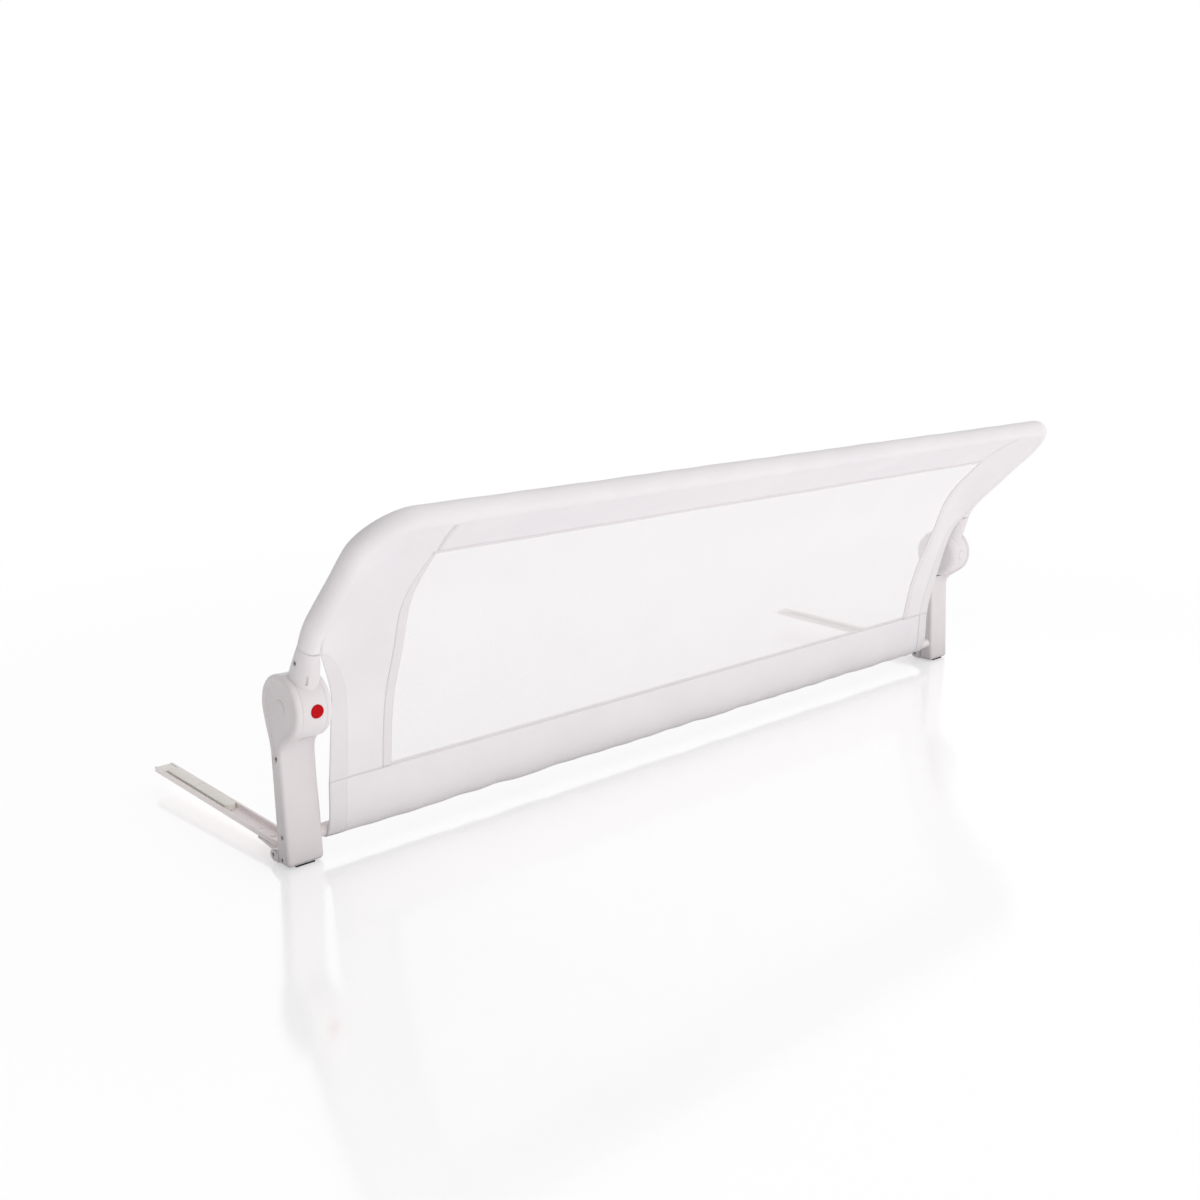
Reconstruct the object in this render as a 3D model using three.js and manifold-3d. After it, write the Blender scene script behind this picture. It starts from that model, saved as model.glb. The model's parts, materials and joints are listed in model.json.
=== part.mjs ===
// Folding bed guard rail, in millimetres, +Z up.
// X runs along the rail, -Y faces the room and +Y the bed. The floor is at Z = 0.
// The posts stand on rubber soles. The upper frame leans out towards the room, as in the photograph,
// and turns about the axle line through both drums. The arms reach back under the mattress.

import * as THREE from "three";
import { mergeVertices } from "three/addons/utils/BufferGeometryUtils.js";
import Module from "manifold-3d";

const wasm = await Module();
wasm.setup();

// Overall sizes
const railLength = 1500; // between the outer faces of the posts
const postWidth = 54;
const gap = 0.3; // between pieces that touch
const overrun = 4; // how far a cutting tool passes the face that it cuts
const degree = Math.PI / 180;

// Post
const postFrontLean = 0.05; // rise of the front face towards the bed, per unit of height
const postFootDepth = 26;
const postBackLean = 0.03;
const postBottom = 3.2;
const postEdge = 4.5; // rounding of the outer edges
const legTop = 150; // where the straight leg ends and swells into the drum
const postWall = 3;
const cheekThickness = 10;
const drumRadius = 44;
const axisY = 2.5;
const axisZ = 219;
const drumFrontAngle = 215; // where the swell of the leg meets the drum, in degrees
const drumBackAngle = -8;
const innerShoulderY = -8; // top of the leg's front under the hub
const innerShoulderZ = 176;
const recessDepth = 2;
const recessRadius = 35.5;
const recessTailRadius = 5.5;
const recessTailY = 19.5;
const recessTailZ = 147;
const coverThickness = 2.5;
const coverBottom = 24;

// Hinge axle
const axleRadius = 6;
const axleHeadRadius = 11;
const axleHeadDome = 0.5;
const boreClearance = 0.1; // around every shaft and pin that something turns on

// Hub
const hubRadius = 43.6;
const hubWall = 3.2;
const hubEndWall = 3.2;
const hubBodyEnd = 44.7; // from the outer face of the post
const hubCoverEnd = 55;
const hubCoverEdge = 8.5;
const hubBossRadius = 9.5;
const hubBossStart = 18;
const seatClearance = 1.7; // between the hub and the hollow of the leg's top, for the button to pass

// Socket of the hub
const socketInset = 30; // socket axis, from the outer face of the post
const socketLean = 24.5; // from upright towards the room, in degrees
const socketStart = 26;
const socketMouth = 84; // from the hinge axis
const socketBaseRadius = 21.5;
const socketMouthRadius = 16.2;
const socketBoreDepth = 45;
const slotWidth = 3.5;
const slotLength = 14;
const slotDepth = 1.5;
const slotAlong = 52;
const slotAside = 7;

// Upper frame
const tubeRadius = 11;
const tubeWall = 1.2;
const frameReach = 335; // along the side tube, from the hinge axis to the middle of the top bar
const frameLean = 45.3; // of the straight upper part, in degrees
const bendStart = 88;
const bendEnd = 142;
const cornerRadius = 61;
const sideFlare = 0.042; // outward run of the side tubes, per unit of length
const sleeveRadius = 14.2;

// Fabric
const clothThickness = 1.6;
const clothEdgeInset = 62.4; // free side edge of the lower fabric, from the outer face of the post
const clothEdgeReach = 18; // how far that edge swings out to the socket
const clothEdgeStart = 197; // where it starts to, along the fabric
const windowInsetBottom = 158; // side of the window, from the outer face of the post
const windowInsetTop = 146;
const windowBottom = 77; // along the fabric, from the lower tube
const windowTopMargin = 84; // from the middle of the top bar to the window
const lowerSleeveRadius = 11.6;
const clothBelly = 20; // how far the cloth stands out in front of the line of the side tubes
const clothBellyAlong = 262; // where it does most, along the cloth
const clothBellySpread = 68;
const rollFullness = 12; // how full the front of the lower sleeve hangs
const rollSeamDrop = 31; // where it leaves the line of the cloth above
const rollSeamFold = 12; // height of the doubled seam
const lowerTubeRadius = 9;
const lowerTubeWall = 1.2;
const lowerTubeY = 14;
const lowerTubeZ = 36.2;
const lowerTubeSeat = 30; // length of the lower tube inside each post

// Release button, latch and spring
const buttonRadius = 10;
const buttonProud = 1.2;
const buttonDepth = 12;
const ringOuterRadius = 38;
const ringInnerRadius = 30;
const ringThickness = 6.5;
const ringTeeth = 24;
const ringToothDepth = 2.6;
const latchTip = 26.6;
const latchBack = 20;
const latchWidth = 9;
const latchThickness = 5;
const springRadius = 3.6;
const springWire = 0.9;
const springTurns = 5;

// Foot
const pivotY = 38.5;
const pivotZ = 10.5;
const footEndRadius = 8;
const soleThickness = 2.3;
const soleInset = 2;
const soleFront = 1.5;
const soleWrap = 70; // how far the sole wraps up the rounded end, in degrees
const footTop = 22;
const footEdge = 1;
const armPinRadius = 3;

// Arms
const armInset = 12; // from the outer face of the post
const armWidth = 28;
const armTilt = 1.5; // rise towards the tip, in degrees
const armStartY = 52.5;
const armStartZ = 13;
const armTipY = 428;
const armHeight = 9;
const armFloor = 2.2;
const armLip = 3.4;
const armEdge = 1.6;
const knuckleRadius = 6.4;
const knuckleEndY = 100;
const knuckleTipThickness = 1.6;
const padWidth = 16.5;
const padStartY = 196;
const padEndMargin = 12;
const padProud = 3;
const padEdge = 1.2;
const grooveY = 313;
const grooveWidth = 3;
const grooveDepth = 1.2;
const armHoleY = 118;
const armHoleRadius = 2.2;
const tipCapLength = 7;
const rivetY = 84;
const rivetRadius = 2.4;
const rivetHeadRadius = 4.2;
const rivetHeadHeight = 1.4;

// Screws in the post, the foot and the socket
const screwHeadRadius = 3;
const screwHeadHeight = 1.6;
const screwSink = 2.4;
const postScrewPlaces = [
  { name: "upper", y: recessTailY, z: recessTailZ },
  { name: "lower", y: 13, z: 42 },
  { name: "foot", y: 15.5, z: 9.5 },
];
const socketScrewAlong = 70;

// Facets
const drumSteps = 22;
const hubSteps = 44;
const roundSteps = 20;
const smallSteps = 12;
const tubeSides = 12;
const bendSteps = 5;
const cornerSteps = 7;
const edgeSteps = 2;
const reliefSteps = 3;

const halfLength = railLength / 2;
const clothEdgeX = halfLength - clothEdgeInset;
const windowHalfBottom = halfLength - windowInsetBottom;
const windowHalfTop = halfLength - windowInsetTop;
const outward = (inset) => inset - halfLength; // X of a place on the left post, from its outer face
const frontOf = (z) => z * postFrontLean;
const backOf = (z) => postFootDepth + z * postBackLean;

const plastic = new THREE.MeshStandardMaterial({ color: 0xe4dedc, roughness: 0.45 });
const hubPlastic = new THREE.MeshStandardMaterial({ color: 0xe8e2e0, roughness: 0.4 });
const redPlastic = new THREE.MeshStandardMaterial({ color: 0xc00a22, roughness: 0.35 });
const darkRubber = new THREE.MeshStandardMaterial({ color: 0x1c1b1c, roughness: 0.85 });
const steel = new THREE.MeshStandardMaterial({ color: 0x8a8c90, roughness: 0.35, metalness: 0.9 });
const paintedSteel = new THREE.MeshStandardMaterial({ color: 0xdad6d3, roughness: 0.4, metalness: 0.1 });
const aluminium = new THREE.MeshStandardMaterial({ color: 0xc8cacc, roughness: 0.35, metalness: 0.9 });
const fabric = new THREE.MeshStandardMaterial({ color: 0xe8e4e5, roughness: 0.95 });
const netting = new THREE.MeshStandardMaterial({ color: 0xf3f0f0, roughness: 0.95, transparent: true, opacity: 0.5 });

const rail = new THREE.Group();

// Solids

function solid(geometry) {
  const bare = geometry.index ? geometry.toNonIndexed() : geometry.clone();
  const positions = new THREE.BufferGeometry().setAttribute("position", bare.getAttribute("position"));
  const merged = mergeVertices(positions, 1e-4);
  return new wasm.Manifold(
    new wasm.Mesh({
      numProp: 3,
      vertProperties: new Float32Array(merged.attributes.position.array),
      triVerts: new Uint32Array(merged.index.array),
    }),
  );
}

function geometryOf(body) {
  const mesh = body.getMesh();
  const geometry = new THREE.BufferGeometry();
  geometry.setAttribute("position", new THREE.BufferAttribute(mesh.vertProperties, 3));
  geometry.setIndex(new THREE.BufferAttribute(mesh.triVerts, 1));
  const flat = geometry.toNonIndexed();
  flat.computeVertexNormals();
  return flat;
}

// The same piece on the other side of the rail, with its faces turned to point outwards again.
function mirrored(geometry) {
  const flat = geometry.index ? geometry.toNonIndexed() : geometry.clone();
  const place = flat.getAttribute("position");
  const turned = new Float32Array(place.count * 3);
  for (let corner = 0; corner < place.count; corner += 3) {
    [0, 2, 1].forEach((from, to) => {
      const source = corner + from;
      turned.set([-place.getX(source), place.getY(source), place.getZ(source)], (corner + to) * 3);
    });
  }
  const result = new THREE.BufferGeometry().setAttribute("position", new THREE.BufferAttribute(turned, 3));
  result.computeVertexNormals();
  return result;
}

function add(name, shape, material) {
  const geometry = shape instanceof THREE.BufferGeometry ? shape : geometryOf(shape);
  const mesh = new THREE.Mesh(geometry, material);
  mesh.name = name;
  rail.add(mesh);
}

function addPair(name, shape, material) {
  const geometry = shape instanceof THREE.BufferGeometry ? shape : geometryOf(shape);
  add("left_" + name, geometry, material);
  add("right_" + name, mirrored(geometry), material);
}

// Turns a drawing in (Y, Z), extruded, so that its depth runs along X.
const alongX = new THREE.Matrix4().makeBasis(
  new THREE.Vector3(0, 1, 0),
  new THREE.Vector3(0, 0, 1),
  new THREE.Vector3(1, 0, 0),
);

// A (Y, Z) outline extruded from one X to another, with rounded edges where edge is given.
function profileAlongX(points, fromX, toX, edge = 0) {
  const geometry = new THREE.ExtrudeGeometry(new THREE.Shape(points), {
    depth: toX - fromX - 2 * edge,
    bevelEnabled: edge > 0,
    bevelThickness: edge,
    bevelSize: edge,
    bevelOffset: -edge,
    bevelSegments: edgeSteps,
    steps: 1,
  });
  geometry.applyMatrix4(alongX);
  geometry.translate(fromX + edge, 0, 0);
  return geometry;
}

function arc(centreY, centreZ, radius, fromAngle, toAngle, steps) {
  const points = [];
  for (let step = 0; step <= steps; step++) {
    const angle = (fromAngle + ((toAngle - fromAngle) * step) / steps) * degree;
    points.push(new THREE.Vector2(centreY + radius * Math.cos(angle), centreZ + radius * Math.sin(angle)));
  }
  return points;
}

function curve(start, control1, control2, end, steps) {
  return new THREE.CubicBezierCurve(start, control1, control2, end).getPoints(steps);
}

const at = (y, z) => new THREE.Vector2(y, z);

function rodAlongX(radius, fromX, toX, y, z, steps = smallSteps) {
  const geometry = new THREE.CylinderGeometry(radius, radius, toX - fromX, steps);
  geometry.rotateZ(-Math.PI / 2);
  geometry.translate((fromX + toX) / 2, y, z);
  return geometry;
}

// A (radius, inset) profile turned about the hinge axis, on the left side.
function turnedAboutAxle(profile, steps) {
  const geometry = new THREE.LatheGeometry(profile.map(([radius, inset]) => at(radius, inset)), steps);
  geometry.rotateZ(-Math.PI / 2);
  geometry.translate(-halfLength, axisY, axisZ);
  return geometry;
}

// Post: an outer cheek with the full drum, and a leg whose top is hollowed for the hub

const drumPoint = (angle) =>
  at(axisY + drumRadius * Math.cos(angle * degree), axisZ + drumRadius * Math.sin(angle * degree));

// Bottom of the leg, from the back corner round to the front corner.
function legBottom() {
  return [
    ...arc(backOf(postBottom) - postEdge, postBottom + postEdge, postEdge, 0, -90, edgeSteps),
    ...arc(frontOf(postBottom) + postEdge, postBottom + postEdge, postEdge, -90, -180, edgeSteps),
  ];
}

function cheekOutline() {
  const swellStart = at(frontOf(legTop), legTop);
  const swellEnd = drumPoint(drumFrontAngle);
  const backEnd = at(backOf(legTop), legTop);
  const backStart = drumPoint(drumBackAngle);
  const pull = drumRadius / 2;
  const frontTangent = drumPoint(drumFrontAngle + 90).sub(at(axisY, axisZ)).normalize();
  const backTangent = drumPoint(drumBackAngle - 90).sub(at(axisY, axisZ)).normalize();
  return [
    ...legBottom(),
    ...curve(
      swellStart,
      at(swellStart.x + pull * postFrontLean, swellStart.y + pull),
      swellEnd.clone().addScaledVector(frontTangent, pull),
      swellEnd,
      6,
    ),
    ...arc(axisY, axisZ, drumRadius, drumFrontAngle, drumBackAngle, drumSteps).slice(1),
    ...curve(
      backStart,
      backStart.clone().addScaledVector(backTangent, pull),
      at(backEnd.x + pull * postBackLean, backEnd.y + pull),
      backEnd,
      5,
    ).slice(1),
  ].reverse();
}

function legOutline() {
  const swellStart = at(frontOf(legTop), legTop);
  const shoulder = at(innerShoulderY, innerShoulderZ);
  const backTop = at(backOf(legTop) + (axisZ - legTop) * postBackLean, axisZ);
  const pull = (innerShoulderZ - legTop) / 2;
  return [
    ...legBottom(),
    ...curve(
      swellStart,
      at(swellStart.x + pull * postFrontLean, swellStart.y + pull),
      at(shoulder.x + pull, shoulder.y - pull / 4),
      shoulder,
      4,
    ),
    at(innerShoulderY, axisZ),
    backTop,
    at(backOf(legTop), legTop),
  ].reverse();
}

function recessOutline() {
  const rise = recessTailZ - axisZ;
  const run = recessTailY - axisY;
  const distance = Math.hypot(rise, run);
  const towards = Math.atan2(rise, run) / degree;
  const spread = Math.acos((recessRadius - recessTailRadius) / distance) / degree;
  return [
    ...arc(axisY, axisZ, recessRadius, towards + spread, towards + 360 - spread, drumSteps),
    ...arc(recessTailY, recessTailZ, recessTailRadius, towards - spread, towards + spread, edgeSteps * 2),
  ];
}

function screwHole(y, z) {
  return solid(rodAlongX(screwHeadRadius + gap, outward(-overrun), outward(screwSink), y, z));
}

function postShell() {
  const cheek = solid(profileAlongX(cheekOutline(), outward(0), outward(cheekThickness + postEdge), postEdge));
  const inside = solid(
    profileAlongX(
      [at(-railLength, -railLength), at(railLength, -railLength), at(railLength, railLength), at(-railLength, railLength)],
      outward(cheekThickness),
      outward(cheekThickness + 2 * postEdge),
    ),
  );
  const leg = solid(profileAlongX(legOutline(), outward(0), outward(postWidth), postEdge));
  const hubSpace = solid(
    rodAlongX(hubRadius + seatClearance, outward(cheekThickness), outward(postWidth + overrun), axisY, axisZ, hubSteps),
  );
  const hollow = solid(
    profileAlongX(
      [
        at(frontOf(-overrun) + postWall, -overrun),
        at(backOf(0) + overrun, -overrun),
        at(backOf(legTop) + overrun, legTop),
        at(frontOf(legTop) + postWall, legTop),
      ],
      outward(postWall),
      outward(postWidth - postWall),
    ),
  );
  const recess = solid(profileAlongX(recessOutline(), outward(-overrun), outward(recessDepth)));
  const axleBore = solid(
    rodAlongX(axleRadius + boreClearance, outward(-overrun), outward(postWidth), axisY, axisZ, hubSteps),
  );
  const tubeHole = solid(
    rodAlongX(
      lowerTubeRadius + gap,
      outward(postWidth - 2 * postWall),
      outward(postWidth + overrun),
      lowerTubeY,
      lowerTubeZ,
      roundSteps,
    ),
  );
  let shell = cheek.subtract(inside).add(leg).subtract(hubSpace).subtract(hollow).subtract(recess);
  shell = shell.subtract(axleBore).subtract(tubeHole);
  for (const place of postScrewPlaces) shell = shell.subtract(screwHole(place.y, place.z));
  return shell;
}

function postCover() {
  const outline = [
    at(backOf(coverBottom) - coverThickness, coverBottom),
    at(backOf(coverBottom), coverBottom),
    at(backOf(legTop), legTop - gap),
    at(backOf(legTop) - coverThickness, legTop - gap),
  ];
  return profileAlongX(outline, outward(postWall + gap), outward(postWidth - postWall - gap));
}

function addScrews() {
  for (const place of postScrewPlaces) {
    const back = outward(screwSink - gap);
    const head = rodAlongX(screwHeadRadius, back - screwHeadHeight, back, place.y, place.z);
    addPair(place.name + "_post_screw", head, steel);
  }
}

// Hinge axle: a flat domed head in the recess and a plain shaft through the hub

function axle() {
  const headBack = recessDepth - gap;
  const profile = [
    [0, headBack - 2 * axleHeadDome - axleHeadDome],
    [axleHeadRadius - 2 * axleHeadDome, headBack - 2 * axleHeadDome],
    [axleHeadRadius, headBack - axleHeadDome],
    [axleHeadRadius, headBack],
    [axleRadius, headBack],
    [axleRadius, hubBodyEnd - gap],
    [0, hubBodyEnd - gap],
  ];
  return turnedAboutAxle(profile, hubSteps);
}

// Hub: a hollow drum body with a boss, the socket for the frame tube and the hole for the button

const sideAngle = Math.atan(sideFlare);
const socketDirection = new THREE.Vector3(-sideFlare, -Math.sin(socketLean * degree), Math.cos(socketLean * degree));
const socketSide = new THREE.Vector3(0, -Math.cos(socketLean * degree), -Math.sin(socketLean * degree));
const hingeAxis = new THREE.Vector3(outward(socketInset), axisY, axisZ);

// A cone or rod on the socket's line, between two distances from the hinge axis.
function alongSocket(startRadius, endRadius, start, end, steps) {
  const geometry = new THREE.CylinderGeometry(endRadius, startRadius, end - start, steps);
  geometry.rotateZ(sideAngle);
  geometry.rotateX(Math.PI / 2 + socketLean * degree);
  const middle = hingeAxis.clone().addScaledVector(socketDirection, (start + end) / 2);
  geometry.translate(middle.x, middle.y, middle.z);
  return geometry;
}

function buttonRod(radius, from, to, steps) {
  const geometry = new THREE.CylinderGeometry(radius, radius, to - from, steps);
  geometry.translate(hingeAxis.x, axisY - (from + to) / 2, axisZ);
  return geometry;
}

function socketScrewPoint() {
  return hingeAxis.clone().addScaledVector(socketDirection, socketScrewAlong);
}

function socketRadiusAt(along) {
  const share = (along - socketStart) / (socketMouth - socketStart);
  return socketBaseRadius + (socketMouthRadius - socketBaseRadius) * share;
}

function hubBody() {
  const cavityEnd = hubBodyEnd - hubEndWall;
  const start = cheekThickness + gap;
  const drum = solid(
    turnedAboutAxle(
      [
        [hubRadius - hubWall, start],
        [hubRadius, start],
        [hubRadius, hubBodyEnd],
        [axleRadius + boreClearance, hubBodyEnd],
        [axleRadius + boreClearance, hubBossStart],
        [hubBossRadius, hubBossStart],
        [hubBossRadius, cavityEnd],
        [hubRadius - hubWall, cavityEnd],
        [hubRadius - hubWall, start],
      ],
      hubSteps,
    ),
  );
  const socket = solid(alongSocket(socketBaseRadius, socketMouthRadius, socketStart, socketMouth, roundSteps + 8));
  const cavity = solid(rodAlongX(hubRadius - hubWall / 2, outward(0), outward(cavityEnd), axisY, axisZ, hubSteps));
  const cheekSpace = solid(rodAlongX(hubRadius * 2, outward(-postWidth), outward(start), axisY, axisZ, hubSteps));
  const coverSpace = solid(
    rodAlongX(hubRadius + seatClearance, outward(hubBodyEnd), outward(postWidth * 2), axisY, axisZ, hubSteps),
  );
  const bore = solid(
    alongSocket(
      tubeRadius + gap,
      tubeRadius + gap,
      socketMouth - socketBoreDepth,
      socketMouth + overrun,
      tubeSides * 2,
    ),
  );
  const slot = new THREE.BoxGeometry(slotWidth, 2 * slotDepth, slotLength);
  slot.rotateX(socketLean * degree);
  const slotOut = Math.sqrt(socketRadiusAt(slotAlong) ** 2 - slotAside ** 2);
  const slotPlace = hingeAxis
    .clone()
    .addScaledVector(socketDirection, slotAlong)
    .addScaledVector(socketSide, slotOut);
  slot.translate(slotPlace.x - slotAside, slotPlace.y, slotPlace.z);
  const screw = socketScrewPoint();
  const screwOut = screw.x - socketRadiusAt(socketScrewAlong);
  const screwSpace = solid(
    rodAlongX(screwHeadRadius + gap, screwOut - overrun, screwOut + screwSink, screw.y, screw.z),
  );
  const opening = solid(buttonRod(buttonRadius + gap, hubRadius - 3 * hubWall, hubRadius + overrun, roundSteps + 4));
  let body = drum.add(socket.subtract(cavity).subtract(cheekSpace).subtract(coverSpace));
  body = body.subtract(bore).subtract(solid(slot)).subtract(screwSpace).subtract(opening);
  return body;
}

function hubCover() {
  const start = hubBodyEnd + gap;
  const profile = [
    [0, start],
    [hubRadius, start],
    ...arc(hubRadius - hubCoverEdge, hubCoverEnd - hubCoverEdge, hubCoverEdge, 0, 90, 5).map((p) => [p.x, p.y]),
    [0, hubCoverEnd],
  ];
  return turnedAboutAxle(profile, hubSteps);
}

function socketScrew() {
  const place = socketScrewPoint();
  const back = place.x - socketRadiusAt(socketScrewAlong) + screwSink - gap;
  return rodAlongX(screwHeadRadius, back - screwHeadHeight, back, place.y, place.z);
}

// Release button, whose face follows the drum, with its latch slider and return spring

function buttonShape() {
  const outer = hubRadius + buttonProud;
  const rod = solid(buttonRod(buttonRadius, hubRadius - buttonDepth, outer, roundSteps + 4));
  const drum = solid(rodAlongX(outer, outward(0), outward(postWidth + overrun), axisY, axisZ, hubSteps * 2));
  return geometryOf(rod.intersect(drum));
}

function latchSlider() {
  const stemLength = hubRadius - buttonDepth - gap - latchBack;
  const stem = new THREE.BoxGeometry(latchWidth, stemLength, latchWidth);
  stem.translate(hingeAxis.x, axisY - latchBack - stemLength / 2, axisZ);
  const tongueStart = cheekThickness + 2 * gap;
  const barLength = socketInset + latchWidth / 2 - tongueStart;
  const bar = new THREE.BoxGeometry(barLength, latchTip - latchBack, latchThickness);
  bar.translate(outward(tongueStart + barLength / 2), axisY - (latchTip + latchBack) / 2, axisZ);
  return solid(stem).add(solid(bar));
}

// A toothed ring inside the drum, which the latch tongue locks into.
function indexRing() {
  const outline = new THREE.Shape(arc(0, 0, ringOuterRadius, 0, 360 - 360 / hubSteps, hubSteps - 1));
  const inner = [];
  const rootRadius = ringInnerRadius;
  const tipRadius = ringInnerRadius - ringToothDepth;
  for (let tooth = 0; tooth < ringTeeth; tooth++) {
    const step = 360 / ringTeeth;
    const places = [
      [rootRadius, -0.3],
      [rootRadius, 0.3],
      [tipRadius, 0.4],
      [tipRadius, 0.6],
    ];
    for (const [radius, share] of places) {
      const angle = (180 + (tooth + share) * step) * degree;
      inner.push(at(radius * Math.cos(angle), radius * Math.sin(angle)));
    }
  }
  outline.holes.push(new THREE.Path(inner));
  const geometry = new THREE.ExtrudeGeometry(outline, { depth: ringThickness, bevelEnabled: false, steps: 1 });
  geometry.applyMatrix4(alongX);
  geometry.translate(outward(cheekThickness + gap), axisY, axisZ);
  return geometry;
}

// A tube of given sides whose rings stand at chosen stations, so straight runs take one step.
class StationRoute extends THREE.Curve {
  constructor(places) {
    super();
    this.places = places;
  }
  getPoint(t, target = new THREE.Vector3()) {
    const last = this.places.length - 1;
    const index = Math.min(Math.round(t * last), last);
    return target.copy(this.places[index]);
  }
  getPointAt(t, target) {
    return this.getPoint(t, target);
  }
  getTangentAt(t, target = new THREE.Vector3()) {
    const last = this.places.length - 1;
    const index = Math.min(Math.round(t * last), last);
    const before = this.places[Math.max(index - 1, 0)];
    const after = this.places[Math.min(index + 1, last)];
    const here = this.places[index];
    const incoming = here.clone().sub(before).normalize();
    const outgoing = after.clone().sub(here).normalize();
    return target.copy(incoming).add(outgoing).normalize();
  }
}

function ringShape(outerRadius, innerRadius, sides) {
  const shape = new THREE.Shape(arc(0, 0, outerRadius, 0, 360 - 360 / sides, sides - 1));
  if (innerRadius > 0) shape.holes.push(new THREE.Path(arc(0, 0, innerRadius, 360 - 360 / sides, 0, sides - 1)));
  return shape;
}

function tubeAlong(places, outerRadius, innerRadius, sides) {
  return new THREE.ExtrudeGeometry(ringShape(outerRadius, innerRadius, sides), {
    steps: places.length - 1,
    extrudePath: new StationRoute(places),
  });
}

// Return spring: one unbroken wire between the latch slider and the boss, along Y.
function springShape() {
  const stepsPerTurn = 8;
  const steps = springTurns * stepsPerTurn;
  const start = -(latchBack - gap - springWire / 2);
  const end = -(hubBossRadius + gap + springWire / 2);
  const places = [];
  for (let step = 0; step <= steps; step++) {
    const angle = (step / stepsPerTurn) * 2 * Math.PI;
    places.push(
      new THREE.Vector3(
        hingeAxis.x + springRadius * Math.cos(angle),
        axisY + start + ((end - start) * step) / steps,
        axisZ + springRadius * Math.sin(angle),
      ),
    );
  }
  return tubeAlong(places, springWire / 2, 0, 5);
}

// Upper frame: the side tubes leave the sockets, bend out to the frame's lean and turn into the top bar

// Side profile of the frame: the (Y, Z) place at a length along it from the hinge axis.
function frameProfile(length) {
  const lean = (along) => {
    const share = Math.min(Math.max((along - bendStart) / (bendEnd - bendStart), 0), 1);
    return (socketLean + (frameLean - socketLean) * share) * degree;
  };
  const place = at(axisY, axisZ);
  const advance = (run, angle) => place.add(at(-run * Math.sin(angle), run * Math.cos(angle)));
  advance(Math.min(length, bendStart), lean(0));
  const pieces = bendSteps * 2;
  for (let piece = 0; piece < pieces; piece++) {
    const from = bendStart + ((bendEnd - bendStart) * piece) / pieces;
    const to = bendStart + ((bendEnd - bendStart) * (piece + 1)) / pieces;
    const run = Math.min(length, to) - from;
    if (run > 0) advance(run, lean((from + to) / 2));
  }
  if (length > bendEnd) advance(length - bendEnd, lean(bendEnd));
  return place;
}

const sideTubeX = (length) => outward(socketInset) - length * sideFlare;
const cornerTurn = Math.PI / 2 + sideAngle;
const cornerRun = cornerRadius * Math.tan(cornerTurn / 2);
const topCornerX = sideTubeX(frameReach);
const cornerStart = frameReach - cornerRun * Math.cos(sideAngle);

const cornerCentreX = sideTubeX(cornerStart) + cornerRadius * Math.cos(sideAngle);
const cornerCentreLength = cornerStart + cornerRadius * Math.sin(sideAngle);

// Centre line of the frame from one length on the left side to the same on the right.
function frameRoute(fromLength) {
  const flat = [];
  const add2 = (x, length) => flat.push([x, length]);
  add2(sideTubeX(fromLength), fromLength);
  for (let step = 0; step <= bendSteps; step++) {
    const length = bendStart + ((bendEnd - bendStart) * step) / bendSteps;
    if (length > fromLength + gap) add2(sideTubeX(length), length);
  }
  for (let step = 0; step <= cornerSteps; step++) {
    const angle = Math.PI + sideAngle - (cornerTurn * step) / cornerSteps;
    add2(cornerCentreX + cornerRadius * Math.cos(angle), cornerCentreLength + cornerRadius * Math.sin(angle));
  }
  const places = flat.map(([x, length]) => {
    const side = frameProfile(length);
    return new THREE.Vector3(x, side.x, side.y);
  });
  const middle = frameProfile(frameReach);
  const right = places.map((place) => new THREE.Vector3(-place.x, place.y, place.z)).reverse();
  return [...places, new THREE.Vector3(0, middle.x, middle.y), ...right];
}

// Fabric

// Side profile of the cloth: from the front of the lower sleeve straight to the socket mouths, then with the frame.
const socketMouthPlace = frameProfile(socketMouth);
const clothLean = Math.atan2(lowerTubeY - socketMouthPlace.x, socketMouthPlace.y - lowerTubeZ);
const clothFootPlace = at(
  lowerTubeY - lowerSleeveRadius * Math.cos(clothLean),
  lowerTubeZ - lowerSleeveRadius * Math.sin(clothLean),
);
const lowerRun = clothFootPlace.distanceTo(socketMouthPlace);

function clothPlace(along) {
  if (along <= lowerRun) return clothFootPlace.clone().lerp(socketMouthPlace, along / lowerRun);
  return frameProfile(socketMouth + along - lowerRun);
}

const frameTop = lowerRun + frameReach - socketMouth; // along the cloth, at the middle of the top bar
const windowTop = frameTop - windowTopMargin;
const clothSplit = lowerRun + 5 * gap;

function windowHalf(along) {
  const share = (along - windowBottom) / (windowTop - windowBottom);
  return windowHalfBottom + (windowHalfTop - windowHalfBottom) * share;
}

// Inner side of the frame's sleeve, half the rail's length less the sleeve.
function sleeveHalf(along) {
  const length = socketMouth + along - lowerRun;
  return -sideTubeX(length) - sleeveRadius - gap;
}

// Free side edge of the lower fabric: straight, then swinging out to the socket.
function clothEdge(along) {
  const share = Math.min(Math.max((along - clothEdgeStart) / (lowerRun - clothEdgeStart), 0), 1);
  return clothEdgeX + clothEdgeReach * share * share * (3 - 2 * share);
}

// How far the cloth stands out towards the room: fully at the window and not at all at the side tubes.
function clothRelief(x, along) {
  const edge = along <= lowerRun ? clothEdge(along) : sleeveHalf(along);
  const share = Math.min(Math.max((edge - Math.abs(x)) / (edge - windowHalf(along)), 0), 1);
  const distance = (along - clothBellyAlong) / clothBellySpread;
  return clothBelly * Math.exp(-distance * distance) * share;
}

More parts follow.
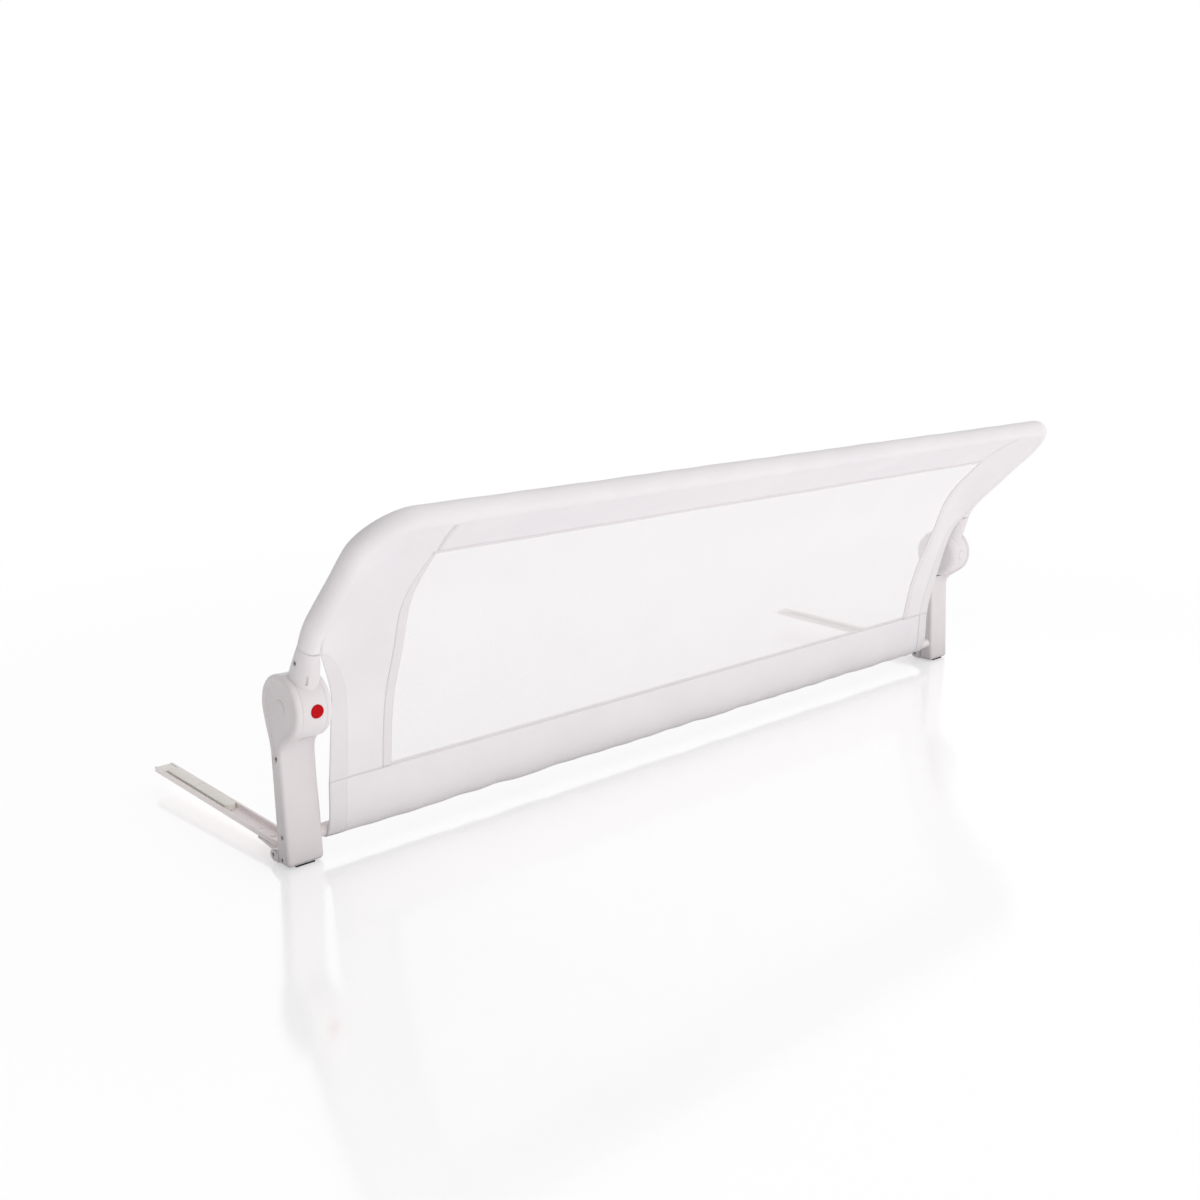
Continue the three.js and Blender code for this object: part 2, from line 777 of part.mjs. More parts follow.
// Section of the lower sleeve: a full front, round under the tube and straight up the back to the seam.
function rollOutline(wall, seamDrop) {
  const radius = lowerSleeveRadius - wall;
  const seam = clothPlace(windowBottom - seamDrop);
  seam.x += wall;
  const above = clothPlace(windowBottom - seamDrop - rollSeamDrop);
  const low = at(lowerTubeY, lowerTubeZ - radius);
  const front = curve(seam, at(above.x + wall, above.y), at(lowerTubeY - radius - rollFullness + wall, low.y), low, 8);
  return [...front, ...arc(lowerTubeY, lowerTubeZ, radius, -90, 15, 5).slice(1)];
}

// A thin cloth between two sides given as half widths over a range of the side profile.
function clothPanel(rows, columns, leftOf, rightOf) {
  const positions = [];
  const normals = rows.map((along) => {
    const step = clothThickness;
    const ahead = clothPlace(Math.min(along + step, frameTop));
    const behind = clothPlace(Math.max(along - step, 0));
    const run = ahead.sub(behind).normalize();
    return at(run.y, -run.x).multiplyScalar(clothThickness / 2);
  });
  const place = (row, column, side) => {
    const along = rows[row];
    const share = column / columns;
    const x = leftOf(along) + (rightOf(along) - leftOf(along)) * share;
    const middle = clothPlace(along);
    const front = middle.x - clothRelief(x, along);
    return [x, front + normals[row].x * side, middle.y + normals[row].y * side];
  };
  const quad = (a, b, c, d) => positions.push(...a, ...b, ...c, ...a, ...c, ...d);
  const last = rows.length - 1;
  for (let row = 0; row < last; row++) {
    for (let column = 0; column < columns; column++) {
      quad(place(row, column, -1), place(row, column + 1, -1), place(row + 1, column + 1, -1), place(row + 1, column, -1));
      quad(place(row, column, 1), place(row + 1, column, 1), place(row + 1, column + 1, 1), place(row, column + 1, 1));
    }
    quad(place(row, 0, 1), place(row, 0, -1), place(row + 1, 0, -1), place(row + 1, 0, 1));
    quad(place(row, columns, -1), place(row, columns, 1), place(row + 1, columns, 1), place(row + 1, columns, -1));
  }
  for (let column = 0; column < columns; column++) {
    quad(place(0, column, 1), place(0, column + 1, 1), place(0, column + 1, -1), place(0, column, -1));
    quad(place(last, column, -1), place(last, column + 1, -1), place(last, column + 1, 1), place(last, column, 1));
  }
  const geometry = new THREE.BufferGeometry();
  geometry.setAttribute("position", new THREE.BufferAttribute(new Float32Array(positions), 3));
  geometry.computeVertexNormals();
  return geometry;
}

function rowsBetween(from, to, count) {
  return Array.from({ length: count + 1 }, (unused, index) => from + ((to - from) * index) / count);
}

function upperRows(to) {
  const bendFrom = lowerRun + bendStart - socketMouth;
  const bendTo = lowerRun + bendEnd - socketMouth;
  return [clothSplit, ...rowsBetween(bendFrom, bendTo, bendSteps), ...rowsBetween(bendTo, to, reliefSteps).slice(1)];
}

function addFabric() {
  const route = frameRoute(socketMouth + 2 * gap);
  add("frame_sleeve", tubeAlong(route, sleeveRadius, tubeRadius + gap, tubeSides), fabric);

  const upper = upperRows(windowTop - gap);
  const mesh = clothPanel(upper, 1, (along) => -windowHalf(along) + gap, (along) => windowHalf(along) - gap);
  add("upper_mesh", mesh, netting);
  addPair("upper_border", clothPanel(upper, 1, (along) => -sleeveHalf(along), (along) => -windowHalf(along)), fabric);

  const bandTop = frameTop - sleeveRadius - 4 * gap;
  const reach = cornerRadius - sleeveRadius - 4 * gap;
  const cornerAlong = cornerCentreLength - socketMouth + lowerRun;
  const bandRows = [windowTop, ...rowsBetween(cornerAlong, bandTop, 5)];
  const bandHalf = (along) => {
    const rise = along - cornerAlong;
    if (rise <= 0) return sleeveHalf(along) - 4 * gap;
    return -cornerCentreX + Math.sqrt(Math.max(reach ** 2 - rise ** 2, 0));
  };
  add("top_border", clothPanel(bandRows, 1, (along) => -bandHalf(along), bandHalf), fabric);

  const lower = rowsBetween(windowBottom + gap, lowerRun - gap, 2 * reliefSteps);
  const lowerMesh = clothPanel(lower, 1, (along) => -windowHalf(along) + gap, (along) => windowHalf(along) - gap);
  add("lower_mesh", lowerMesh, netting);
  const straightRows = rowsBetween(windowBottom + gap, clothEdgeStart, reliefSteps);
  const edgeRows = [...straightRows, ...rowsBetween(clothEdgeStart, lowerRun - gap, 6).slice(1)];
  const lowerBorder = clothPanel(edgeRows, 1, (along) => -clothEdge(along), (along) => -windowHalf(along));
  addPair("lower_border", lowerBorder, fabric);

  const section = new THREE.Shape(rollOutline(0, 0));
  section.holes.push(new THREE.Path(rollOutline(clothThickness, rollSeamFold)));
  const roll = new THREE.ExtrudeGeometry(section, { depth: 2 * clothEdgeX, bevelEnabled: false, steps: 1 });
  roll.applyMatrix4(alongX);
  roll.translate(-clothEdgeX, 0, 0);
  add("bottom_sleeve", roll, fabric);
}

// Foot block, sole and arm pin

// Room for the arm in the foot and in the sole.
function armSlot(fromY) {
  const floor = pivotZ - knuckleRadius - gap;
  return solid(
    profileAlongX(
      [at(fromY, floor), at(armTipY, floor), at(armTipY, footTop + overrun), at(fromY, footTop + overrun)],
      outward(armInset - gap),
      outward(armInset + armWidth + gap),
    ),
  );
}

function footBlock() {
  const front = frontOf(0) + postWall + gap + boreClearance;
  const bottom = soleThickness + boreClearance;
  const plugBack = backOf(0) + overrun;
  const plug = profileAlongX(
    [at(front, bottom), at(plugBack, bottom), at(plugBack, footTop), at(front + footTop * postFrontLean, footTop)],
    outward(postWall + gap),
    outward(postWidth - postWall - gap),
  );
  const endAngle = 60;
  const rear = profileAlongX(
    [
      at(backOf(footTop) + gap, bottom),
      ...arc(pivotY, pivotZ, footEndRadius, -90, endAngle, 9),
      at(backOf(footTop) + gap, footTop),
    ],
    outward(0),
    outward(postWidth),
    footEdge,
  );
  const pinBore = rodAlongX(
    armPinRadius + boreClearance,
    outward(-overrun),
    outward(postWidth + overrun),
    pivotY,
    pivotZ,
    roundSteps,
  );
  return solid(plug).add(solid(rear)).subtract(armSlot(pivotY - footEndRadius)).subtract(solid(pinBore));
}

function sole() {
  const outer = arc(pivotY, pivotZ, pivotZ, -90, -90 + soleWrap, 5);
  const inner = arc(pivotY, pivotZ, pivotZ - soleThickness, -90 + soleWrap, -90, 5);
  const sheet = profileAlongX(
    [at(soleFront, 0), ...outer, ...inner, at(soleFront, soleThickness)],
    outward(soleInset),
    outward(postWidth - soleInset),
  );
  return solid(sheet).subtract(armSlot(pivotY));
}

// Arm: knuckle on the pin, channel beam, pad and end cap

const armRise = Math.tan(armTilt * degree);
const armLength = (armTipY - armStartY) / Math.cos(armTilt * degree);
const beamBottom = (y) => armStartZ + (y - armStartY) * armRise;
const alongArm = (y) => (y - armStartY) / Math.cos(armTilt * degree);

// Moves a shape drawn with X across, Y along and Z up from the beam's root to its tilted place.
function toArm(geometry) {
  geometry.rotateX(armTilt * degree);
  geometry.translate(outward(armInset), armStartY, armStartZ);
  return geometry;
}

function upright(x, y, radius, bottom, top, steps) {
  const geometry = new THREE.CylinderGeometry(radius, radius, top - bottom, steps);
  geometry.rotateX(Math.PI / 2);
  geometry.translate(x, y, (top + bottom) / 2);
  return geometry;
}

function knuckle() {
  const eye = profileAlongX(
    arc(pivotY, pivotZ, knuckleRadius, 0, 360 - 360 / roundSteps, roundSteps - 1),
    outward(armInset),
    outward(armInset + armWidth),
  );
  const neck = armStartY - footEndRadius;
  const tongue = profileAlongX(
    [
      at(pivotY, pivotZ - knuckleRadius),
      at(knuckleEndY, beamBottom(knuckleEndY) - gap - knuckleTipThickness),
      at(knuckleEndY, beamBottom(knuckleEndY) - gap),
      at(neck, beamBottom(neck) - gap),
      at(pivotY, pivotZ + knuckleRadius),
    ],
    outward(armInset),
    outward(armInset + armWidth),
  );
  const pinBore = rodAlongX(
    armPinRadius + boreClearance,
    outward(0),
    outward(postWidth),
    pivotY,
    pivotZ,
    roundSteps,
  );
  const rivetHole = toArm(
    upright(armWidth / 2, alongArm(rivetY), rivetRadius + boreClearance, -armHeight, armHeight, smallSteps),
  );
  return solid(eye).add(solid(tongue)).subtract(solid(pinBore)).subtract(solid(rivetHole));
}

function beam() {
  const section = new THREE.Shape([
    at(armEdge, 0),
    at(armWidth - armEdge, 0),
    at(armWidth, armEdge),
    at(armWidth, armHeight),
    at(armWidth - armLip, armHeight),
    at(armWidth - armLip, armFloor),
    at(armLip, armFloor),
    at(armLip, armHeight),
    at(0, armHeight),
    at(0, armEdge),
  ]);
  const channel = new THREE.ExtrudeGeometry(section, { depth: armLength, bevelEnabled: false, steps: 1 });
  channel.rotateX(Math.PI / 2);
  channel.translate(0, armLength, 0);
  const rivetHole = upright(armWidth / 2, alongArm(rivetY), rivetRadius + boreClearance, -armHeight, armHeight, smallSteps);
  const floorHole = upright(armWidth / 2, alongArm(armHoleY), armHoleRadius, -armHeight, armHeight, smallSteps);
  const cut = solid(channel).subtract(solid(rivetHole)).subtract(solid(floorHole));
  return toArm(geometryOf(cut));
}

function pad() {
  const start = alongArm(padStartY);
  const end = armLength - padEndMargin;
  const half = padWidth / 2;
  const ends = half - padEdge;
  const middle = armWidth / 2;
  const outline = new THREE.Shape([
    ...arc(middle, start + half, half, 180, 360, smallSteps),
    ...arc(middle, end - half, half, 0, 180, smallSteps),
  ]);
  const top = armHeight + padProud;
  const block = new THREE.ExtrudeGeometry(outline, {
    depth: top - armFloor - gap - padEdge,
    bevelEnabled: true,
    bevelThickness: padEdge,
    bevelSize: padEdge,
    bevelOffset: -padEdge,
    bevelSegments: edgeSteps,
    steps: 1,
  });
  block.translate(0, 0, armFloor + gap);
  const floor = new THREE.BoxGeometry(armWidth, armLength * 2, armHeight);
  floor.translate(middle, armLength / 2, armFloor + gap - armHeight / 2);
  const groove = new THREE.BoxGeometry(armWidth, grooveWidth, 2 * grooveDepth);
  groove.translate(middle - ends / 2, alongArm(grooveY), top);
  return toArm(geometryOf(solid(block).subtract(solid(floor)).subtract(solid(groove))));
}

function tipCap() {
  const block = new THREE.BoxGeometry(armWidth - 2 * armLip - 2 * gap, tipCapLength, armHeight - armFloor - gap);
  block.translate(armWidth / 2, armLength - tipCapLength / 2, (armHeight + armFloor + gap) / 2);
  return toArm(block);
}

function rivet() {
  const bottom = -knuckleTipThickness;
  const head = armFloor + gap;
  const profile = [
    at(0, bottom),
    at(rivetRadius, bottom),
    at(rivetRadius, head),
    at(rivetHeadRadius, head),
    at(rivetHeadRadius * 0.8, head + rivetHeadHeight),
    at(0, head + rivetHeadHeight),
  ];
  const geometry = new THREE.LatheGeometry(profile, smallSteps);
  geometry.rotateX(Math.PI / 2);
  geometry.translate(armWidth / 2, alongArm(rivetY), 0);
  return toArm(geometry);
}

// The whole rail

addPair("post_shell", postShell(), plastic);
addPair("post_cover", postCover(), plastic);
addPair("hinge_axle", axle(), plastic);
addScrews();
add("index_ring", indexRing(), steel);

addPair("foot_block", footBlock(), plastic);
addPair("sole", sole(), darkRubber);
const pinEnd = footEdge + gap;
addPair("arm_pin", rodAlongX(armPinRadius, outward(pinEnd), outward(postWidth - pinEnd), pivotY, pivotZ, roundSteps), steel);

addPair("hub_body", hubBody(), hubPlastic);
addPair("hub_cover", hubCover(), hubPlastic);
addPair("socket_screw", socketScrew(), steel);
add("release_button", buttonShape(), redPlastic);
add("latch_slider", latchSlider(), steel);
add("button_spring", springShape(), steel);
add("right_hub_cap", mirrored(buttonShape()), hubPlastic);

add("frame_tube", tubeAlong(frameRoute(socketMouth - socketBoreDepth + gap), tubeRadius, tubeRadius - tubeWall, tubeSides), aluminium);
const lowerTubeEnd = halfLength - postWidth + lowerTubeSeat;
add(
  "lower_tube",
  tubeAlong(
    [-lowerTubeEnd, lowerTubeEnd].map((x) => new THREE.Vector3(x, lowerTubeY, lowerTubeZ)),
    lowerTubeRadius,
    lowerTubeRadius - lowerTubeWall,
    tubeSides * 2,
  ),
  paintedSteel,
);
addFabric();

addPair("arm_knuckle", knuckle(), paintedSteel);
addPair("arm_beam", beam(), paintedSteel);
addPair("arm_pad", pad(), plastic);
addPair("arm_tip_cap", tipCap(), plastic);
addPair("arm_rivet", rivet(), steel);

// The origin lies on the floor under the middle of the whole.
const extent = new THREE.Box3().setFromObject(rail);
rail.position.y = -extent.getCenter(new THREE.Vector3()).y;

export default rail;
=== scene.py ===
# %% [markdown]
# # A folding bed guard
# A white fabric guard stands on two short plastic posts. A bent tube carries the fabric and turns in two
# round drums, and two flat arms reach back under the mattress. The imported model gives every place, so
# this lesson only has to dress it: smooth skins, cloth with seams, and finishes made of shader nodes.

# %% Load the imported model
import json
import math

import bmesh
import bpy
import numpy as np
from mathutils import Matrix, Vector


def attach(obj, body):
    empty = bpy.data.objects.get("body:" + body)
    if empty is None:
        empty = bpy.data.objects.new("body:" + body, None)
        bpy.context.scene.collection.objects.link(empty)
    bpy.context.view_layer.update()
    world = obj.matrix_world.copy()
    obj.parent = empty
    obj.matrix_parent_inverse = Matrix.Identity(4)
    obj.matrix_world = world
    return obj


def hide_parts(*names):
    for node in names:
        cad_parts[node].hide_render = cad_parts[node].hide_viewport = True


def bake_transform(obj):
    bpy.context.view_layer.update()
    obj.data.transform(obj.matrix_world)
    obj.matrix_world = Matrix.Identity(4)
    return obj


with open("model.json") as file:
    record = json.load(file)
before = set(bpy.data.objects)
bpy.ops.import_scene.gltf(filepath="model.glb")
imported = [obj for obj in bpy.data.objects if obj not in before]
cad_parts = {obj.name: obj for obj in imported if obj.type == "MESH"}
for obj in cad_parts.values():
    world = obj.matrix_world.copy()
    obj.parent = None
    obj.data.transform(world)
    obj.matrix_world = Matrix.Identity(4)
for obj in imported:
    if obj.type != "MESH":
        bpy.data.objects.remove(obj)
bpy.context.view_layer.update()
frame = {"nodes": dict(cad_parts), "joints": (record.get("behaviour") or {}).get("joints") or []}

# %% [markdown]
# ## The drawing's numbers
# The sizes are in millimetres, in the drawing's own frame: X along the guard, -Y towards the room, Z up,
# with the outer face of the left post at X = -750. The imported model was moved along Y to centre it, and
# the place of the fold joint tells by how much.

# %% Sizes in millimetres
MM = 0.001
HALF_LENGTH = 750.0
POST_WIDTH = 54.0
HINGE = np.array([2.5, 219.0])  # Y and Z of the fold axis
SIDES = ((-1, "left"), (1, "right"))  # sign of X and name
joints = {joint["name"]: joint for joint in frame["joints"]}
SHIFT = joints["frame_fold"]["pos_m"][1] / MM - HINGE[0]
print("the packed model is moved along Y by", round(SHIFT, 3), "mm")


def placed(x, y, z):
    """A place of the drawing, in millimetres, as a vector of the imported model, in metres."""
    return Vector((x * MM, (y + SHIFT) * MM, z * MM))


# %% [markdown]
# ## The camera
# The lens and the place were worked out from straight edges of the object. A camera looks along its own
# -Z axis, so its matrix is built from the directions to the right, up and back.

# %% Camera
def look_from(eye, yaw, pitch, roll, lens):
    """A camera at eye that looks yaw degrees to the right of +Y, pitch down, rolled about its own axis."""
    yaw, pitch, roll = (math.radians(angle) for angle in (yaw, pitch, roll))
    forward = Vector((math.sin(yaw) * math.cos(pitch), math.cos(yaw) * math.cos(pitch), -math.sin(pitch)))
    level = Vector((math.cos(yaw), -math.sin(yaw), 0))
    above = level.cross(forward)
    right = level * math.cos(roll) + above * math.sin(roll)
    up = above * math.cos(roll) - level * math.sin(roll)
    data = bpy.data.cameras.new("camera")
    data.lens = lens
    data.sensor_width = 36
    camera = bpy.data.objects.new("camera", data)
    camera.matrix_world = Matrix.Translation(eye) @ Matrix((right, up, -forward)).transposed().to_4x4()
    bpy.context.scene.collection.objects.link(camera)
    bpy.context.scene.camera = camera
    return camera


camera = look_from(placed(-1578.1, -1488.6, 747.1), yaw=42.8, pitch=13.2, roll=-0.2, lens=41.31)
print("camera at", [round(value, 3) for value in camera.location])

# %% [markdown]
# ## Skins from arrays
# Every new piece is a surface: rings of points in one array, and quads between neighbouring rings. Doing
# this with whole arrays keeps the form in a formula, where it can be read and changed, instead of in
# hundreds of hand-placed points.


# %% Grids and lofts
def grid(rows, columns, around=False):
    """Quads between neighbouring points of a grid. With around, each row closes on itself."""
    index = np.arange(rows * columns).reshape(rows, columns)
    if around:
        index = np.hstack([index, index[:, :1]])
    quads = np.stack([index[:-1, :-1], index[:-1, 1:], index[1:, 1:], index[1:, :-1]], -1)
    return quads.reshape(-1, 4).tolist()


def skin(name, places, faces, uv=None):
    """A mesh object from places in the drawing's millimetres. uv gives each place two coordinates."""
    places = np.asarray(places, float).reshape(-1, 3)
    mesh = bpy.data.meshes.new(name)
    mesh.from_pydata(((places + (0, SHIFT, 0)) * MM).tolist(), [], faces)
    if uv is not None:
        layer = mesh.uv_layers.new(name="UVMap")
        corners = np.empty(len(mesh.loops), np.int32)
        mesh.loops.foreach_get("vertex_index", corners)
        layer.data.foreach_set("uv", np.asarray(uv, np.float32).reshape(-1, 2)[corners].ravel())
    piece = bpy.data.objects.new(name, mesh)
    bpy.context.scene.collection.objects.link(piece)
    return piece


def loft(name, rings):
    """A skin through rings of points, with one face over each end, turned to face outwards."""
    rings = np.asarray(rings, float)
    count, around = rings.shape[:2]
    faces = grid(count, around, around=True)
    faces.append(list(range(around - 1, -1, -1)))
    faces.append(list(range((count - 1) * around, count * around)))
    return face_outwards(skin(name, rings, faces))


def face_outwards(piece):
    """Turns the faces of a closed skin round where they enclose a negative volume."""
    shell = bmesh.new()
    shell.from_mesh(piece.data)
    if shell.calc_volume(signed=True) < 0:
        bmesh.ops.reverse_faces(shell, faces=shell.faces)
        shell.to_mesh(piece.data)
    shell.free()
    return piece


def short_caps(piece):
    """Cuts the end faces of a loft into short triangles, which follow an end that is not quite flat."""
    shell = bmesh.new()
    shell.from_mesh(piece.data)
    wide = [face for face in shell.faces if len(face.verts) > 4]
    bmesh.ops.triangulate(shell, faces=wide, ngon_method="BEAUTY")
    shell.to_mesh(piece.data)
    shell.free()
    return piece


print("grids and lofts ready")

# %% [markdown]
# A finished piece needs smooth shading with creases, one finish, and a note of the body that it rides and
# of the imported nodes that it stands for. One call gives the last three, so no piece misses them.


# %% Finished pieces
def smooth(piece, angle=32):
    """Smooth shading, with a crease wherever two faces meet at more than the angle in degrees."""
    piece.data.shade_smooth()
    piece.data.set_sharp_from_angle(angle=math.radians(angle))
    return piece


def dress(piece, material, slot, body, *nodes):
    """Gives a piece its finish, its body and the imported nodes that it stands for."""
    piece.data.materials.clear()
    piece.data.materials.append(material)
    if body:
        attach(piece, body)
    if nodes:
        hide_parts(*nodes)
    return piece


print("pieces can be dressed")

# %% [markdown]
# The guard's lines are arcs, drawn-out curves and even offsets. Points placed by hand would hide that, so
# each kind is a formula that gives an array of points, and its numbers can be measured on the object.


# %% Arcs, curves and offsets
def unit(vectors):
    """Vectors shortened or lengthened to 1."""
    return vectors / np.linalg.norm(vectors, axis=-1, keepdims=True)


def eased(share):
    """From 0 to 1 along 3 s^2 - 2 s^3, which leaves and arrives without a corner."""
    share = np.clip(share, 0, 1)
    return share * share * (3 - 2 * share)


def way_along(line):
    """How far each point of a line lies from its start, as the running sum of its steps."""
    return np.concatenate([[0], np.cumsum(np.linalg.norm(np.diff(line, axis=0), axis=1))])


def arc(centre, radius, start, end, count):
    """Points on a circle of the (Y, Z) plane, from one angle in degrees to another."""
    angle = np.radians(np.linspace(start, end, count))
    return np.stack([centre[0] + radius * np.cos(angle), centre[1] + radius * np.sin(angle)], 1)


def bezier(start, pull1, pull2, end, count):
    """Points on a cubic curve: (1-t)^3 a + 3(1-t)^2 t b + 3(1-t) t^2 c + t^3 d."""
    t = np.linspace(0, 1, count)[:, None]
    start, pull1, pull2, end = (np.asarray(place, float) for place in (start, pull1, pull2, end))
    return (1 - t) ** 3 * start + 3 * (1 - t) ** 2 * t * pull1 + 3 * (1 - t) * t**2 * pull2 + t**3 * end


def inset(outline, depth):
    """A closed clockwise outline moved inwards along the mean normal of the two edges at each point."""
    into = unit(outline - np.roll(outline, 1, 0))
    out = unit(np.roll(outline, -1, 0) - outline)
    first = np.stack([into[:, 1], -into[:, 0]], 1)
    normal = unit(first + np.stack([out[:, 1], -out[:, 0]], 1))
    share = np.clip((normal * first).sum(1, keepdims=True), 0.5, 1)
    return outline + normal * np.asarray(depth, float).reshape(-1, 1) / share


def along_x(outlines, insets, side):
    """Rings from (Y, Z) outlines at distances from the post's outer face. side is -1 left, 1 right."""
    outlines = np.array(outlines)
    x = side * (HALF_LENGTH - np.array(insets))
    return np.concatenate([np.broadcast_to(x[:, None, None], (*outlines.shape[:2], 1)), outlines], 2)


print("a quarter of a circle of 1 mm is", round(way_along(arc((0, 0), 1, 0, 90, 99))[-1], 4), "mm long")

# %% [markdown]
# Drums, axle heads and tubes are round, so they are turned or drawn. Where two such forms meet, or a hole
# goes in, the real part has a hard edge as well, and there a Boolean keeps the piece one closed skin.


# %% Turned parts, rods and cuts
def turned(name, profile, side, steps):
    """A (radius, inset) profile turned about the fold axis: y = r cos a, z = r sin a."""
    profile = np.asarray(profile, float)
    angle = np.linspace(0, 2 * np.pi, steps, endpoint=False)
    x = np.broadcast_to(side * (HALF_LENGTH - profile[:, 1:2]), (len(profile), steps))
    y = HINGE[0] + profile[:, :1] * np.cos(angle)
    z = HINGE[1] + profile[:, :1] * np.sin(angle)
    return loft(name, np.stack([x, y, z], -1))


def rod(name, start, end, radii, steps=48, shares=None):
    """A rod between two places, with a radius at each of its shares of the way."""
    start, end = np.asarray(start, float), np.asarray(end, float)
    radii = np.asarray(radii, float)
    shares = np.linspace(0, 1, len(radii)) if shares is None else np.asarray(shares, float)
    run = unit(end - start)
    aside = unit(np.cross(run, (0.31, 0.87, 0.38)))
    third = np.cross(run, aside)
    angle = np.linspace(0, 2 * np.pi, steps, endpoint=False)
    circle = np.cos(angle)[:, None] * aside + np.sin(angle)[:, None] * third
    centre = start + (end - start) * shares[:, None]
    return loft(name, centre[:, None, :] + radii[:, None, None] * circle)


def carve(piece, tools, operation="DIFFERENCE"):
    """Cuts the tools out of a closed piece, or joins them to it, and removes the tools."""
    for tool in tools:
        step = piece.modifiers.new("carve", "BOOLEAN")
        step.operation = operation
        step.solver = "EXACT"
        step.object = tool
    bpy.context.view_layer.update()
    carved = bpy.data.meshes.new_from_object(piece.evaluated_get(bpy.context.evaluated_depsgraph_get()))
    piece.modifiers.clear()
    piece.data = carved
    for tool in tools:
        bpy.data.objects.remove(tool)
    return piece


print("turned parts, rods and cuts ready")

# %% [markdown]
# ## Finishes
# A finish is a small graph of nodes. Noise on the Object coordinates varies colour and roughness by a few
# percent, as moulding and handling do, and a finer noise drives the bump. Object coordinates are used
# because every piece has its place in its mesh, so the grain runs on from piece to piece.


# %% Node helpers
def graph(name):
    """A new material with its node tree, its Principled shader and its Object coordinates."""
    material = bpy.data.materials.new(name)
    material.use_nodes = True
    nodes = material.node_tree.nodes
    shader = nodes["Principled BSDF"]
    where = nodes.new("ShaderNodeTexCoord")
    return material, material.node_tree, shader, where.outputs["Object"]


def noise(tree, where, scale, detail, roughness=0.5):
    """A noise from 0 to 1, whose scale is in waves per metre."""
    node = tree.nodes.new("ShaderNodeTexNoise")
    node.inputs["Scale"].default_value = scale
    node.inputs["Detail"].default_value = detail
    node.inputs["Roughness"].default_value = roughness
    tree.links.new(where, node.inputs["Vector"])
    return node.outputs["Fac"]


def between(tree, factor, low, high, start=0.3, end=0.7):
    """Maps a factor from start..end to a value or colour from low to high."""
    node = tree.nodes.new("ShaderNodeMapRange")
    node.inputs["From Min"].default_value = start
    node.inputs["From Max"].default_value = end
    tree.links.new(factor, node.inputs["Value"])
    if not isinstance(low, tuple):
        node.inputs["To Min"].default_value = low
        node.inputs["To Max"].default_value = high
        return node.outputs["Result"]
    mix = tree.nodes.new("ShaderNodeMix")
    mix.data_type = "RGBA"
    mix.inputs["A"].default_value = (*low, 1)
    mix.inputs["B"].default_value = (*high, 1)
    tree.links.new(node.outputs["Result"], mix.inputs["Factor"])
    return mix.outputs["Result"]


def sums(tree, kind, first, second):
    """One Math node on two sockets or numbers."""
    node = tree.nodes.new("ShaderNodeMath")
    node.operation = kind
    for socket, value in zip(node.inputs, (first, second)):
        if isinstance(value, (int, float)):
            socket.default_value = value
        else:
            tree.links.new(value, socket)
    return node.outputs["Value"]


def bumped(tree, shader, height, distance):
    """Feeds a height from 0 to 1 into the shader's normal, as a relief of that distance in metres."""
    node = tree.nodes.new("ShaderNodeBump")
    node.inputs["Strength"].default_value = 1.0
    node.inputs["Distance"].default_value = distance
    tree.links.new(height, node.inputs["Height"])
    tree.links.new(node.outputs["Normal"], shader.inputs["Normal"])


print("node helpers ready")

# %% [markdown]
# The hard parts are moulded plastic, painted or plated steel and rubber. They differ in tone, gloss, grain
# and metal only, so one function makes them all. The tones are those that give the levels of the
# photograph under this scene's light.


# %% Hard finishes
def moulded(name, light, dark, gloss, grain, metallic=0.0, scale=14.0):
    """A hard finish: colour between two tones, roughness about gloss, and a fine grain of that depth."""
    material, tree, shader, where = graph(name)
    tone = noise(tree, where, scale, detail=4.0)
    tree.links.new(between(tree, tone, dark, light), shader.inputs["Base Color"])
    wear = noise(tree, where, scale * 5, detail=5.0, roughness=0.6)
    tree.links.new(between(tree, wear, gloss * 0.85, gloss * 1.2), shader.inputs["Roughness"])
    shader.inputs["Metallic"].default_value = metallic
    bumped(tree, shader, noise(tree, where, 1400.0, detail=2.0), grain)
    return material


def tint(value, red=0.0, blue=0.0):
    """A linear colour from an sRGB level of 0 to 255 for green, with red and blue that much above it."""
    def linear(level):
        level = max(min(level, 255), 0) / 255
        return level / 12.92 if level <= 0.04045 else ((level + 0.055) / 1.055) ** 2.4
    return (linear(value + red), linear(value), linear(value + blue))


# Light and dark tone, roughness, and depth of the grain in metres.
white_plastic = moulded("moulded_white_plastic", tint(230, 6, 1), tint(225, 7, 1), 0.42, 0.00004)
hub_plastic = moulded("smooth_white_plastic", tint(232, 5, 1), tint(228, 6, 1), 0.36, 0.00002)
red_plastic = moulded("glossy_red_plastic", (0.57, 0.001, 0.006), (0.5, 0.001, 0.005), 0.36, 0.00001)
red_shader = red_plastic.node_tree.nodes["Principled BSDF"]
red_shader.inputs["Specular IOR Level"].default_value = 0.1  # a little gloss only, so the red stays deep
dark_rubber = moulded("dark_rubber", tint(38), tint(28), 0.78, 0.0001)
steel = moulded("zinc_plated_steel", tint(120), tint(95), 0.38, 0.00002, metallic=0.9, scale=90.0)
ivory_plastic = moulded("ivory_moulded_plastic", tint(243, 4, -7), tint(239, 4, -7), 0.45, 0.00004)
painted_steel = moulded("painted_steel", tint(240, 8, -1), tint(236, 8, -1), 0.48, 0.00003, scale=22.0)
bare_tube = moulded("drawn_aluminium", tint(196), tint(184), 0.32, 0.00001, metallic=0.95, scale=40.0)
print("hard finishes made")


# %% [markdown]
# Woven cloth repeats in two directions, so its relief is two waves of the piece's own UV map, which holds
# metres along the cloth. A slow noise adds the soft unevenness that washed cloth has.


